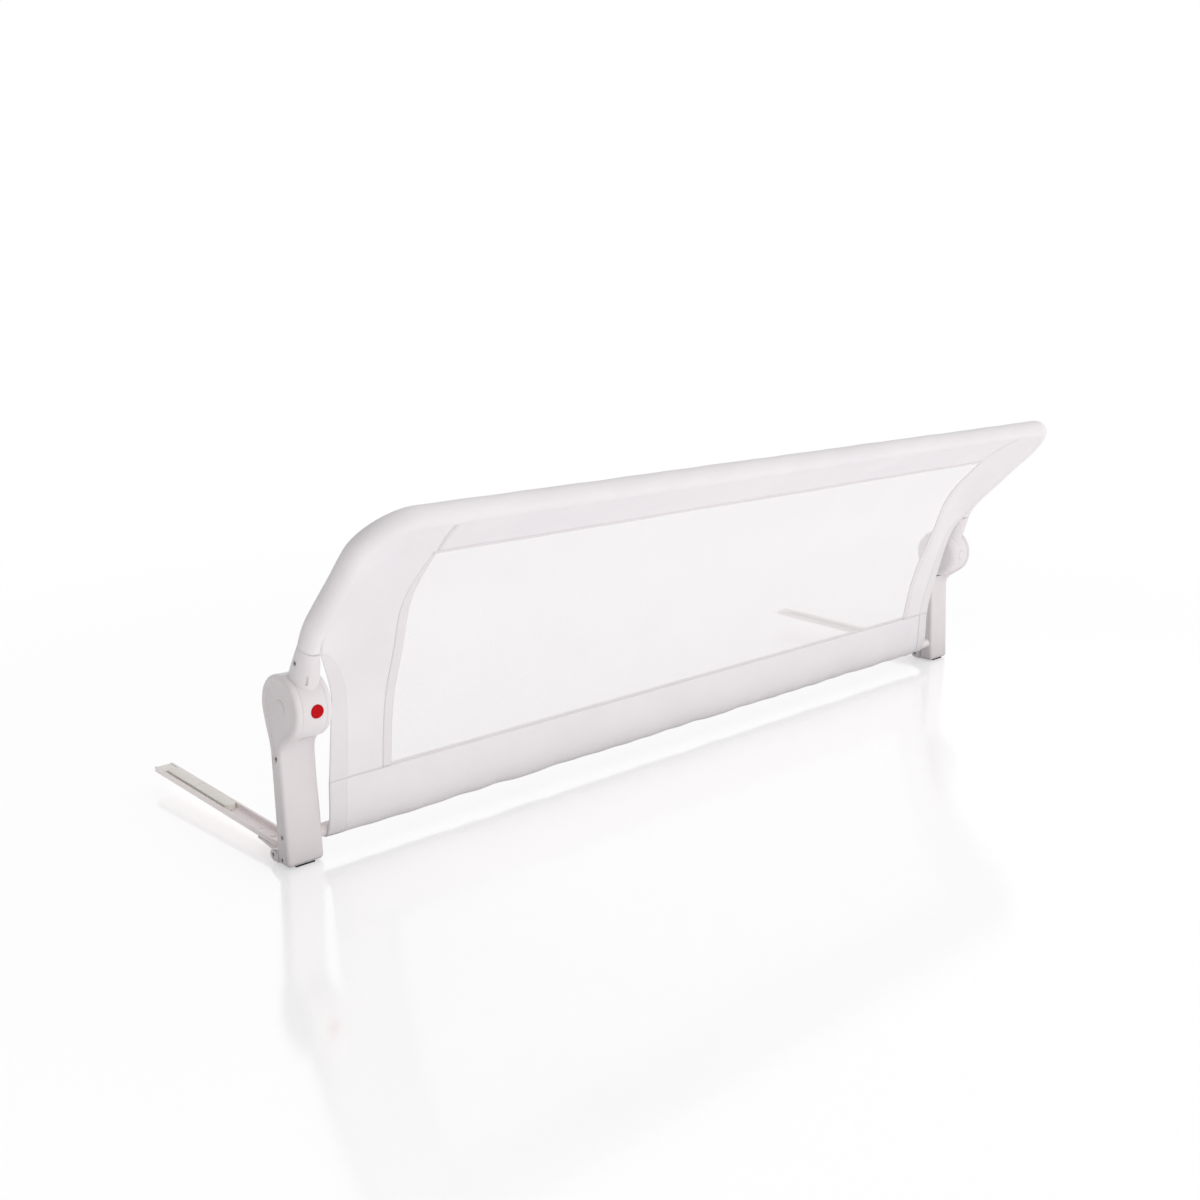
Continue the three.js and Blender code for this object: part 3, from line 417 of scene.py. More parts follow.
# %% Cloth finishes
def woven(name, light, dark, pitch, relief, cover=None):
    """Cloth with threads every pitch metres both ways. cover is how much holes and threads hide."""
    material, tree, shader, where = graph(name)
    uv = tree.nodes.new("ShaderNodeUVMap")
    uv.uv_map = "UVMap"
    parts = tree.nodes.new("ShaderNodeSeparateXYZ")
    tree.links.new(uv.outputs["UV"], parts.inputs["Vector"])
    turns = 2 * math.pi / pitch
    across = sums(tree, "SINE", sums(tree, "MULTIPLY", parts.outputs["X"], turns), 0.0)
    down = sums(tree, "SINE", sums(tree, "MULTIPLY", parts.outputs["Y"], turns), 0.0)
    if cover:
        threads = sums(tree, "MAXIMUM", across, down)
        height = between(tree, threads, 0.0, 1.0, -0.6, 0.9)
    else:
        height = between(tree, sums(tree, "MULTIPLY", across, down), 0.0, 1.0, -1.0, 1.0)
    slow = noise(tree, where, 9.0, detail=4.0, roughness=0.55)
    tree.links.new(between(tree, slow, dark, light), shader.inputs["Base Color"])
    tree.links.new(between(tree, height, 0.98, 0.86, 0.0, 1.0), shader.inputs["Roughness"])
    shader.inputs["Sheen Weight"].default_value = 0.08
    shader.inputs["Specular IOR Level"].default_value = 0.25
    if cover:
        tree.links.new(between(tree, height, *cover, 0.0, 0.9), shader.inputs["Alpha"])
    bumped(tree, shader, height, relief)
    return material


# Light and dark tone, pitch of the threads and depth of their relief in metres.
white_cloth = woven("white_woven_cloth", tint(241, 4, 1), tint(237, 4, 2), 0.0011, 0.00008)
band_cloth = woven("white_band_cloth", tint(236, 4, 1), tint(232, 4, 2), 0.0008, 0.00008)
# Painted shade: the seams' cloth is darker than the border and stands in for the shade along each seam.
seam_cloth = woven("shaded_seam_cloth", tint(230, 4, 1), tint(226, 4, 2), 0.0008, 0.00008)
netting = woven(
    "white_window_netting", tint(242, 4, 1), tint(239, 4, 1), 0.0018, 0.00006, cover=(0.46, 0.7)
)
print("cloth finishes made")

# %% [markdown]
# ## The posts
# A real post is one moulding: a cheek on the outside with a full drum at its top, and a leg behind it
# whose top is hollowed for the hub. Both have the same foot, so one loft can pass from the one outline
# to the other. Both are drawn here with as many points in the same order, which lets quads join them.

# %% Outlines of the post
DRUM_RADIUS = 44.0
DRUM_ARC = (215, -8)  # degrees, from the front of the leg over the top to its back
DRUM_STEPS = 72
SWELL_POINTS = 15  # between the leg's front and the drum
SADDLE_RADIUS = 45.3  # of the hollow for the hub
POST_BOTTOM = 3.2
POST_EDGE = 4.5  # rounding of the edges
LEG_TOP = 150.0
CHEEK = 10.0  # thickness


def front_of(z):
    """Y of the post's front, which leans back by 5 % of its height."""
    return z * 0.05


def back_of(z):
    """Y of the post's back: 26 mm at the floor, leaning back by 3 % of its height."""
    return 26 + z * 0.03


def line(start, end, count):
    """Evenly spaced points between two places, without the places themselves."""
    return np.linspace(start, end, count + 2)[1:-1]


def post_outlines():
    """The cheek, the leg and the recess in the cheek, clockwise from the top of the straight back."""
    low = POST_BOTTOM + POST_EDGE
    back_top, front_top = (back_of(LEG_TOP), LEG_TOP), (front_of(LEG_TOP), LEG_TOP)
    back_foot = arc((back_of(POST_BOTTOM) - POST_EDGE, low), POST_EDGE, 0, -90, 8)
    front_foot = arc((front_of(POST_BOTTOM) + POST_EDGE, low), POST_EDGE, -90, -180, 8)
    foot = np.vstack([
        line(back_top, back_foot[0], 16), back_foot, front_foot, line(front_foot[-1], front_top, 16)
    ])
    swell_end, back_start = arc(HINGE, DRUM_RADIUS, *DRUM_ARC, 2)
    to_front, to_back = arc((0, 0), 1, DRUM_ARC[0] + 90, DRUM_ARC[1] - 90, 2)
    pull = DRUM_RADIUS / 2
    over_front = (front_top[0] + pull * 0.05, LEG_TOP + pull)
    over_back = (back_top[0] + pull * 0.03, LEG_TOP + pull)
    swell = bezier(front_top, over_front, swell_end + to_front * pull, swell_end, SWELL_POINTS)
    fall = bezier(back_start, back_start + to_back * pull, over_back, back_top, 13)
    drum = arc(HINGE, DRUM_RADIUS, *DRUM_ARC, DRUM_STEPS + 1)
    cheek = np.vstack([foot, swell, drum[1:], fall[1:]])

    def before_saddle(points):
        """The points of a line up to where it enters the hub's hollow."""
        inside = np.linalg.norm(points - HINGE, axis=1) < SADDLE_RADIUS
        return points[: int(np.argmax(inside))]

    shoulder = bezier(front_top, (front_top[0] + 0.65, LEG_TOP + 13), (5, 172.75), (-8, 176), 60)
    shoulder = before_saddle(shoulder)
    shoulder = shoulder[np.linspace(0, len(shoulder) - 1, SWELL_POINTS).round().astype(int)]
    rise = np.linspace(LEG_TOP, 200, 200)
    back = before_saddle(np.stack([back_top[0] + (rise - LEG_TOP) * 0.03, rise], 1))
    angles = [math.degrees(math.atan2(*(point - HINGE)[::-1])) for point in (shoulder[-1], back[-1])]
    saddle = arc(HINGE, SADDLE_RADIUS, *angles, DRUM_STEPS + 1)
    leg = np.vstack([foot, shoulder, saddle[1:], np.linspace(back[-1], back_top, 13)[1:]])

    count = len(foot)
    marks = [count, count + SWELL_POINTS - 1, count + SWELL_POINTS - 1 + DRUM_STEPS, len(cheek) - 1]
    rim_width = np.interp(np.arange(len(cheek)), marks, [6.2, 8.5, 8.5, 5.6])
    tail = arc((19.8, 147.5), 5.6, 2, -182, count)
    recess = np.vstack([tail, inset(cheek, rim_width)[count:]])
    return cheek, leg, recess, marks


cheek_outline, leg_outline, recess_outline, MARKS = post_outlines()
FOOT_END, SWELL_END, DRUM_END, LAST_POINT = MARKS
print("points round the post:", len(cheek_outline), len(leg_outline), len(recess_outline))

# %% [markdown]
# A post could be two blocks joined by a Boolean, but the swell between leg and drum would then have a
# hard line. So the outlines are set one behind the other along X, blended where the cheek passes into
# the leg. Rings that shrink as they near a face round its edge, and more of them, drawn towards the
# middle of the leg, close its inner end. Only the screw holes are cut.


# %% Loft the posts
BLEND_DEPTH = 15.0  # of the passage from the cheek's outline to the leg's
WAIST = 0.8  # how far the leg's inner side steps back
WAIST_HEIGHTS = (62, 120)  # where it begins and where it is full
WAIST_DEPTHS = (26, 48)  # the same, from the outer face
SCREW_HOLE = 3.3  # radius
# Of each screw in the outer face: Y, Z, how much deeper its hole is than 2.4 mm, and its head's depth.
POST_SCREWS = {"upper": (19.5, 147, 1.6, 3.0), "lower": (13, 42, 0, 1.9), "foot": (15.5, 9.5, 0, 1.9)}


def clear_of_saddle(outline, radius=SADDLE_RADIUS):
    """Pushes points that shrank into the hub's hollow back out to its surface."""
    away = outline - HINGE
    distance = np.linalg.norm(away, axis=1, keepdims=True)
    return HINGE + away * np.maximum(distance, radius) / distance


def post(side, name):
    """The post as one loft: recess floor, its wall, the face, the rounded rim, the cheek and the leg."""
    turn = np.linspace(0, np.pi / 2, 8)
    outlines = [inset(recess_outline, d) for d in (1.6, 0.9, 0.45, 0.1, 0, 0, -0.15, -0.5)]
    insets = [2.0, 2.0, 1.88, 1.5, 1.2, 0.5, 0.12, 0.0]
    outlines += [inset(cheek_outline, POST_EDGE + 0.4)]
    insets += [0.0]
    outlines += [inset(cheek_outline, POST_EDGE * (1 - math.sin(a))) for a in turn]
    insets += [POST_EDGE * (1 - math.cos(a)) for a in turn]

    # The rounded back edge of the drum, and the passage from the cheek to the leg.
    order = np.arange(len(cheek_outline))
    swell = slice(FOOT_END, SWELL_END + 1)
    drum = (order > SWELL_END).astype(float)
    outlines += [cheek_outline, inset(cheek_outline, drum * 0.15), inset(cheek_outline, drum * 0.5)]
    insets += [CHEEK - 0.5, CHEEK - 0.15, CHEEK]
    for u in (CHEEK, 11, 12.5, 14, 16, 18, 20, 22, 25):
        blended = leg_outline.copy()
        apart = cheek_outline[swell] - leg_outline[swell]
        blended[swell] += apart * (1 - eased((u - CHEEK) / BLEND_DEPTH))
        outlines.append(clear_of_saddle(blended, DRUM_RADIUS))
        insets.append(u)

    # The rounded inner edge. It is full round the foot and almost sharp along the saddle.
    full = np.interp(order, [FOOT_END - 5, SWELL_END, DRUM_END, LAST_POINT], [1, 0.12, 0.12, 1])
    for a in turn:
        outlines.append(clear_of_saddle(inset(leg_outline, full * POST_EDGE * (1 - math.cos(a)))))
        insets.append(POST_WIDTH - POST_EDGE + POST_EDGE * math.sin(a))

    # The inner end, drawn to a line half way between front and back.
    rim = outlines[-1]
    height = rim[:, 1]
    core = np.stack([(front_of(height) + back_of(height)) / 2, np.maximum(height, 16)], 1)
    for part in (0.06, 0.25, 0.5, 0.75, 0.9, 0.98):
        share = part * (full if part < 0.8 else np.ones_like(full))
        outlines.append(clear_of_saddle(rim + (core - rim) * share[:, None]))
        insets.append(POST_WIDTH)

    rings = along_x(outlines, insets, side)
    depth = HALF_LENGTH - side * rings[..., 0]
    above = eased((rings[..., 2] - WAIST_HEIGHTS[0]) / (WAIST_HEIGHTS[1] - WAIST_HEIGHTS[0]))
    within = np.clip((depth - WAIST_DEPTHS[0]) / (WAIST_DEPTHS[1] - WAIST_DEPTHS[0]), 0, 1)
    rings[..., 0] += side * WAIST * above * within
    piece = short_caps(loft(name, rings))
    holes = [
        rod(
            "hole",
            (side * (HALF_LENGTH + 4), y, z),
            (side * (HALF_LENGTH - 2.4 - deeper), y, z),
            [SCREW_HOLE, SCREW_HOLE],
            32,
        )
        for y, z, deeper, _ in POST_SCREWS.values()
    ]
    return smooth(carve(piece, holes))


for side, word in SIDES:
    piece = dress(post(side, word + "_post"), white_plastic, "white_plastic", "base", word + "_post_shell")
    print(piece.name, "has", len(piece.data.polygons), "faces")

# %% [markdown]
# ## The drums' hubs
# The hub is a drum that turns on the inside of the cheek, with a tapered socket on it that holds the tube.
# The socket follows the frame's lean and the slight outward flare of its side tubes, and its mouth is cut
# askew. All of this hangs on one line, so a place in the socket is given along it, aside and outwards.

# %% Line of the socket
HUB_RADIUS = 43.6
SOCKET_INSET = 30.0  # of the socket's middle from the outer face
LEAN_DEGREES = 24.5
SOCKET_LEAN = math.radians(LEAN_DEGREES)
FLARE = 0.042  # of the side tubes, mm outwards per mm up
MOUTH_SLANT = 7.0  # by how much the mouth's outer side is longer
SOCKET_SCREW = 70.0  # place along the socket
SLOT = (52.0, 7.0)  # along the socket and aside
BUTTON_X = HALF_LENGTH - SOCKET_INSET


def socket_place(side, along, aside=0.0, out=0.0):
    """A place on the socket's line, moved aside along X and outwards to the room side."""
    x = side * (HALF_LENGTH - SOCKET_INSET + FLARE * along) + aside
    y = HINGE[0] - math.sin(SOCKET_LEAN) * along - math.cos(SOCKET_LEAN) * out
    z = HINGE[1] + math.cos(SOCKET_LEAN) * along - math.sin(SOCKET_LEAN) * out
    return (x, y, z)


def socket_radius(along):
    """The cone's radius, straight from each of these places along it to the next."""
    return np.interp(along, [22, 40, 56, 66, 76, 84, 100], [21.8, 20.3, 18.8, 17.7, 16.2, 14.7, 14.7])


def mouth_slant(length, outward):
    """The mouth is cut askew, highest on the outer side. The cone leans to it from 28 mm below."""
    return MOUTH_SLANT * outward * np.clip((length - 56) / 28, 0, 1)


def slot_tool(side):
    """A block with rounded ends that cuts the slot in the cone's room side, a little to the outside."""
    along, aside = SLOT
    out = math.sqrt(socket_radius(along) ** 2 - aside**2)
    angle = np.linspace(0, 2 * np.pi, 24, endpoint=False)
    across = 1.6 * np.cos(angle)
    down = 1.6 * np.sin(angle) + np.sign(np.sin(angle) + 1e-9) * 5.25
    rings = []
    for height in (-2.2, 3.0):
        x, y, z = socket_place(side, along + down, side * aside + across, out + height)
        rings.append(np.stack([x, y, z], -1))
    return loft("slot", rings)


print("middle of the left socket's mouth:", np.round(socket_place(-1, 84), 1), "mm")

# %% [markdown]
# The drum is a profile turned about the fold axis. The socket's cone is joined to it, and the bore, the
# screw hole, the slot and the button hole are cut, so the hub stays one closed skin. On its inner side
# lies a disc with a wide round rim. The button's face is bent like the drum that it stands in.


# %% Hubs, covers and buttons
def hub(side, name):
    """Drum, cone and holes. The rim of the drum and the mouth of the cone are rounded."""
    edge = [(-0.9, 0), (-0.55, 0), (-0.25, 0.12), (-0.07, 0.32), (0, 0.6)]
    start, end = CHEEK + 0.3, 44.7
    profile = [(HUB_RADIUS + r, start + u) for r, u in edge]
    profile += [(HUB_RADIUS + r, end - u) for r, u in reversed(edge)]
    drum = turned(name, profile, side, steps=128)
    stations = np.array([22, 40, 48, 56, 62, 66, 70, 74, 78, 81, 82.4, 83.2, 83.75, 84, 84, 83.2])
    trims = np.array([0, 0, 0, 0, 0, 0, 0, 0, 0, 0, 0.05, 0.3, 0.75, 1.2, 2.2, 3.0])
    angle = np.linspace(0, 2 * np.pi, 96, endpoint=False)[None]
    radius = (socket_radius(stations) - trims)[:, None]
    along = stations[:, None] + mouth_slant(stations[:, None], (1 + np.cos(angle)) / 2)
    places = socket_place(side, along, side * radius * np.cos(angle), radius * np.sin(angle))
    drum = carve(drum, [loft("cone", np.stack(places, -1))], "UNION")
    screw = socket_place(side, SOCKET_SCREW)
    outer = side * (socket_radius(SOCKET_SCREW) + 4)
    inner = side * (socket_radius(SOCKET_SCREW) - 2.4)
    drum_face = HINGE[0] - HUB_RADIUS
    cuts = [
        rod("bore", socket_place(side, 60), socket_place(side, 100), [11.3, 11.3]),
        rod(
            "screw_hole",
            (screw[0] + outer, *screw[1:]),
            (screw[0] + inner, *screw[1:]),
            [SCREW_HOLE, SCREW_HOLE],
            32,
        ),
        slot_tool(side),
        rod(
            "button_hole",
            (side * BUTTON_X, drum_face - 6, HINGE[1]),
            (side * BUTTON_X, drum_face + 9, HINGE[1]),
            [9.25, 9.25],
            64,
        ),
    ]
    return smooth(carve(drum, cuts))


def hub_cover(side, name):
    """The inner disc: a seam, a wide rounded rim and a shallow dimple at its middle."""
    turn = np.linspace(0, np.pi / 2, 12)
    profile = [(HUB_RADIUS - 0.6, 44.76), (HUB_RADIUS - 0.2, 44.8), (HUB_RADIUS - 0.04, 44.95)]
    profile += [(HUB_RADIUS, 45.2)]
    profile += [(HUB_RADIUS - 8.5 * (1 - math.cos(a)), 46.5 + 8.5 * math.sin(a)) for a in turn]
    profile += [(34.5, 55), (6.3, 55), (6, 55), (5.7, 54.85), (5.5, 54.5), (5.4, 54.1), (5.0, 54.0)]
    return smooth(turned(name, profile, side, steps=128))


def face_button(side, name):
    """A round button whose face follows the drum: y = -sqrt((R + h)^2 - (r sin a)^2), h its profile."""
    profile = np.array([
        (8.9, -8.5), (9, -8.1), (9, -0.2), (8.94, 0.15), (8.75, 0.45), (8.4, 0.68), (7.9, 0.8),
        (7.5, 0.8), (6.4, 0.66), (5.0, 0.54), (3.2, 0.46), (1.4, 0.43), (0.4, 0.42),
    ])
    angle = np.linspace(0, 2 * np.pi, 64, endpoint=False)
    r, h = profile[:, :1], profile[:, 1:]
    x = side * BUTTON_X + r * np.cos(angle)
    rise = r * np.sin(angle)
    y = HINGE[0] - np.sqrt((HUB_RADIUS + h) ** 2 - rise**2)
    return smooth(loft(name, np.stack([x, y, HINGE[1] + rise], -1)))


for side, word in SIDES:
    piece = hub(side, word + "_hub")
    dress(piece, hub_plastic, "hub_plastic", "upper_frame", word + "_hub_body")
    cover = hub_cover(side, word + "_hub_disc")
    dress(cover, hub_plastic, "hub_plastic", "upper_frame", word + "_hub_cover")
    print(piece.name, "has", len(piece.data.polygons), "faces and its disc", len(cover.data.polygons))

dress(face_button(-1, "red_button"), red_plastic, "red_plastic", "button", "release_button")
dress(face_button(1, "blank_cap"), hub_plastic, "hub_plastic", "upper_frame", "right_hub_cap")

# %% [markdown]
# In the middle of each cheek shows the flat head of the axle, and small screws hold post, foot and
# socket. A head is only 6 mm wide, but a dark hole without one would look unfinished from nearby. The
# axle head is a turned profile. A screw head is a dome on a polar grid, whose cross is made by sinking
# the points near two bars.


# %% Axle heads and screws
def axle_head(side, name):
    """A flat domed head on the floor of the recess, with a fine groove round its raised middle."""
    profile = [
        (10.4, 1.99), (10.8, 1.97), (11, 1.8), (11, 1.35), (10.85, 1.05), (10.5, 0.9), (9.4, 0.84),
        (8.9, 1.0), (8.5, 1.0), (8.1, 0.72), (7.6, 0.62), (6, 0.5), (4, 0.42), (2, 0.38), (0.5, 0.37),
    ]
    return smooth(turned(name, profile, side, steps=64))


SCREW_RADIUS = 2.95


def screw_head(name, centre, outward):
    """A screw head with a cross: a dome h = 1.1 (1 - s^2.4) + 0.2, sunk by 0.7 mm along two bars."""
    share = np.array([0, 0.12, 0.25, 0.4, 0.55, 0.7, 0.85, 0.96, 1.0, 1.0])[:, None]
    angle = np.linspace(0, 2 * np.pi, 32, endpoint=False)
    dome = 1.1 * (1 - share**2.4) + 0.2
    bars = np.maximum(np.abs(np.cos(angle)), np.abs(np.sin(angle))) > 0.93
    sunk = np.where((share < 0.6) & bars, 0.7, np.where(share < 0.2, 0.7, 0.0))
    height = np.broadcast_to(dome, sunk.shape) - sunk
    height = np.where(share == 1.0, 0.2, height)
    height[-1] = -0.9
    aside = unit(np.cross(outward, (0.0, 0.62, 0.78)))
    third = np.cross(outward, aside)
    flat = (np.cos(angle)[:, None] * aside + np.sin(angle)[:, None] * third)[None]
    share = np.maximum(share, 0.04)
    middle, outward = np.asarray(centre), np.asarray(outward)
    places = middle + SCREW_RADIUS * share[..., None] * flat + height[..., None] * outward
    return smooth(loft(name, places), 50)


for side, word in SIDES:
    head = axle_head(side, word + "_axle_head")
    dress(head, white_plastic, "white_plastic", "base", word + "_hinge_axle")
    for label, (y, z, _, depth) in POST_SCREWS.items():
        head = screw_head(f"{word}_{label}_screw", (side * (HALF_LENGTH - depth), y, z), (side, 0, 0))
        dress(head, steel, "steel", "base", f"{word}_{label}_post_screw")
    place = socket_place(side, SOCKET_SCREW)
    centre = (place[0] + side * (socket_radius(SOCKET_SCREW) - 1.9), *place[1:])
    head = screw_head(word + "_socket_fixing", centre, (side, 0, 0))
    dress(head, steel, "steel", "upper_frame", word + "_socket_screw")
print("fixings placed")

# %% [markdown]
# ## Small hard pieces
# Feet, covers, pads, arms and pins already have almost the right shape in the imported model, but its
# edges are knife-sharp, and no moulded or folded part has such edges. A merged copy gets a Bevel
# modifier, which puts a narrow rounding on each edge for the light to catch. Some are moved and
# stretched by a few millimetres first. The arm, for one, ends 22 mm sooner, with a shorter pad and a
# longer cap at its tip.


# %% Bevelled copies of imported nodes
def merged(node):
    """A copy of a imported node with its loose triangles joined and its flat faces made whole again."""
    mesh = frame["nodes"][node].data.copy()
    shell = bmesh.new()
    shell.from_mesh(mesh)
    bmesh.ops.remove_doubles(shell, verts=shell.verts, dist=0.00001)
    bmesh.ops.dissolve_limit(shell, angle_limit=math.radians(1), verts=shell.verts, edges=shell.edges)
    shell.to_mesh(mesh)
    shell.free()
    piece = bpy.data.objects.new(node + "_finished", mesh)
    bpy.context.scene.collection.objects.link(piece)
    return piece


def softened(node, material, slot, body, width, segments=2, move=(0, 0, 0), stretch=(1, 1, 1)):
    """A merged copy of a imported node, moved and stretched about its middle, with its edges rounded."""
    piece = merged(node)
    mesh = piece.data
    places = np.empty(len(mesh.vertices) * 3)
    mesh.vertices.foreach_get("co", places)
    places = places.reshape(-1, 3)
    middle = (places.min(0) + places.max(0)) / 2
    places = middle + (places - middle) * stretch + np.array(move) * MM
    mesh.vertices.foreach_set("co", places.ravel())
    rounding = piece.modifiers.new("rounding", "BEVEL")
    rounding.width = width * MM
    rounding.segments = segments
    rounding.limit_method = "ANGLE"
    rounding.angle_limit = math.radians(28)
    rounding.harden_normals = True
    return dress(smooth(piece), material, slot, body, node)


SOLE_CHANGE = dict(stretch=(0.56, 0.94, 1))
BEAM_CHANGE = dict(move=(0, -11, 0), stretch=(1, 0.9415, 1))
PAD_CHANGE = dict(move=(0, -18.4, -0.15), stretch=(1, 0.832, 0.935))
CAP_CHANGE = dict(move=(0, -32, -0.6), stretch=(1, 3.8, 1))

for side, word in SIDES:
    cover_change = dict(move=(side * 0.6, 0.35, 0), stretch=(0.975, 1, 1))
    softened(word + "_foot_block", white_plastic, "white_plastic", "base", 0.6, segments=3)
    softened(word + "_sole", dark_rubber, "dark_rubber", "base", 0.25, **SOLE_CHANGE)
    softened(word + "_post_cover", white_plastic, "white_plastic", "base", 0.25, **cover_change)
    softened(word + "_arm_pin", steel, "steel", "base", 0.3)
    arm = word + "_arm"
    softened(word + "_arm_knuckle", painted_steel, "painted_steel", arm, 0.4)
    softened(word + "_arm_beam", painted_steel, "painted_steel", arm, 0.5, segments=3, **BEAM_CHANGE)
    softened(word + "_arm_pad", ivory_plastic, "white_plastic", arm, 0.3, **PAD_CHANGE)
    softened(word + "_arm_tip_cap", ivory_plastic, "white_plastic", arm, 0.5, **CAP_CHANGE)
    softened(word + "_arm_rivet", painted_steel, "painted_steel", arm, 0.25)
softened("latch_slider", steel, "steel", "button", 0.4)
softened("index_ring", steel, "steel", "base", 0.2)
print("bevelled copies made")

# %% [markdown]
# The spring behind the button rests in the hub with one end and on the latch slider with the other. A
# rigid spring would run into the slider when the button is pressed. Here it rides on neither body.

# %% Spring behind the button
spring = dress(smooth(merged("button_spring")), steel, "steel", None, "button_spring")
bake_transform(spring)

# %% [markdown]
# Of the tubes little shows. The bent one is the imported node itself, with a finish of bare metal, because
# cloth and sockets hide it. The lower one shows white between cloth and posts, so it gets round sides and
# a narrow rounding at its ends.

# %% Tubes of the frame
LOWER_TUBE = np.array([14.0, 36.2])  # Y and Z
bent_tube = frame["nodes"]["frame_tube"].data
bent_tube.materials.clear()
bent_tube.materials.append(bare_tube)
lower_bar = rod(
    "lower_bar", (-726, *LOWER_TUBE), (726, *LOWER_TUBE), [8.2, 9, 9, 8.2], shares=[0, 0.0005, 0.9995, 1]
)
dress(smooth(lower_bar), painted_steel, "painted_steel", "base", "lower_tube")
print("lower tube has", len(lower_bar.data.polygons), "faces")

# %% [markdown]
# ## The line of the cloth
# The cloth runs straight from the lower tube to the mouths of the sockets and then follows the side
# tubes. Between them it is taut and takes a smoother way, up to 20 mm in front of the bent tubes. A place
# on it is given by X and by the length along this line, and these two are also its UV map.

# %% Side line of frame and cloth
SOCKET_MOUTH = 84.0  # length from the fold axis to the sleeve
FRAME_REACH = 335.0  # and to the middle of the upper tube
CORNER_RADIUS = 61.0
BENT_LEAN = 45.3  # degrees, above the bend of the side tubes
SLEEVE_RADIUS = 13.3
LOWER_SLEEVE = 11.6  # radius
STEP = 0.05

steps = np.linspace(0, 540, 10801)
lean = np.radians(np.interp(steps, [88, 142], [LEAN_DEGREES, BENT_LEAN]))


def running_sum(values):
    """The sum up to each step, by the trapezium rule: half of both neighbours times the step."""
    return np.concatenate([[0], np.cumsum((values[1:] + values[:-1]) / 2 * STEP)])


def place_at(length, lengths, line):
    """Y and Z at a length, straight between the places that a line has at its own lengths."""
    return np.stack([np.interp(length, lengths, line[:, 0]), np.interp(length, lengths, line[:, 1])], -1)


side_line = np.stack([HINGE[0] - running_sum(np.sin(lean)), HINGE[1] + running_sum(np.cos(lean))], 1)


def frame_line(length):
    """Y and Z of the frame's middle at a length from the fold axis, from the running sum of its lean."""
    return place_at(np.asarray(length, float), steps, side_line)


mouth = frame_line(SOCKET_MOUTH)
cloth_lean = math.atan2(LOWER_TUBE[0] - mouth[0], mouth[1] - LOWER_TUBE[1])
cloth_foot = LOWER_TUBE - LOWER_SLEEVE * np.array([math.cos(cloth_lean), math.sin(cloth_lean)])
LOWER_RUN = float(np.linalg.norm(mouth - cloth_foot))
FRAME_TOP = LOWER_RUN + FRAME_REACH - SOCKET_MOUTH
WINDOW_BOTTOM = 77.0
WINDOW_TOP = FRAME_TOP - 84.0
CLOTH_START = WINDOW_BOTTOM - 4  # where border, bands and hems begin


def cloth_line(along):
    """Y and Z at a length along the cloth: straight up to the sockets' mouths, then along the tubes."""
    along = np.asarray(along, float)[..., None]
    low = cloth_foot + (mouth - cloth_foot) * along / LOWER_RUN
    return np.where(along <= LOWER_RUN, low, frame_line(SOCKET_MOUTH + along[..., 0] - LOWER_RUN))


sample = np.arange(-150.0, FRAME_TOP + 150)
weight = np.exp(-np.linspace(-3, 3, 217) ** 2 / 2)
easy_line = np.stack([np.convolve(row, weight / weight.sum(), "same") for row in cloth_line(sample).T], 1)


def easy_place(along):
    """The line of taut cloth away from the tubes: the line above, averaged over a bell of 36 mm."""
    return place_at(along, sample, easy_line)


print("cloth runs", round(LOWER_RUN, 1), "mm below the collar and up to", round(FRAME_TOP, 1))

# %% [markdown]
# In width the cloth follows the flare of the side tubes, up to a seam on the sleeve's front. Below the
# sockets its edges are free and swing out a little. At the top it turns round the tube's corners, whose
# middles follow from the flare and the corner's radius.


# %% Widths and corners
def tube_half(length):
    """Half the distance between the side tubes' middles."""
    return HALF_LENGTH - SOCKET_INSET + length * FLARE


def window_half(along):
    """Half width of the window: 592 mm at its foot and 12 mm more at its top."""
    return 592 + 12 * (along - WINDOW_BOTTOM) / (WINDOW_TOP - WINDOW_BOTTOM)


FREE_HALF = 687.6  # half width of the cloth below the sockets
SWING_START = 190


def free_edge(along):
    """Half width of the lower cloth: straight, then swinging out over the socket as s^1.6."""
    share = np.clip((along - SWING_START) / (LOWER_RUN - SWING_START), 0, 1)
    return FREE_HALF + 24.4 * share**1.6


def seam_reach(length):
    """From the tube's middle to the edge of the border, which lies on the sleeve's front."""
    return 11.5 - 10.5 * np.clip((length - SOCKET_MOUTH) / 60, 0, 1)


def cloth_edge(along):
    """Half width of the cloth: the free edge below, the seam of the sleeve above."""
    length = SOCKET_MOUTH + along - LOWER_RUN
    return np.where(along <= LOWER_RUN, free_edge(along), tube_half(length) - seam_reach(length))


side_angle = math.atan(FLARE)
corner_turn = math.pi / 2 + side_angle
corner_run = CORNER_RADIUS * math.tan(corner_turn / 2)
corner_start = FRAME_REACH - corner_run * math.cos(side_angle)
corner_x = -tube_half(corner_start) + CORNER_RADIUS * math.cos(side_angle)
corner_length = corner_start + CORNER_RADIUS * math.sin(side_angle)
print("the tube's corners turn round X =", round(corner_x, 1), "and length", round(corner_length, 1))

# %% [markdown]
# Stretched cloth is never a plane. Near the frame it lies over the tube, and in the middle it hangs free,
# with a slight belly and soft waves. A simulation would find such a form too, but a photograph that is to
# be matched is easier to follow with a sum of lifts, each with one cause and one size.


# %% Relief of the cloth
def taut(x, along):
    """0 at the edge, where the cloth follows the tubes, rising to 1 at the window, where it is free."""
    edge = cloth_edge(along)
    return eased((edge - np.abs(x)) / (edge - window_half(along)))


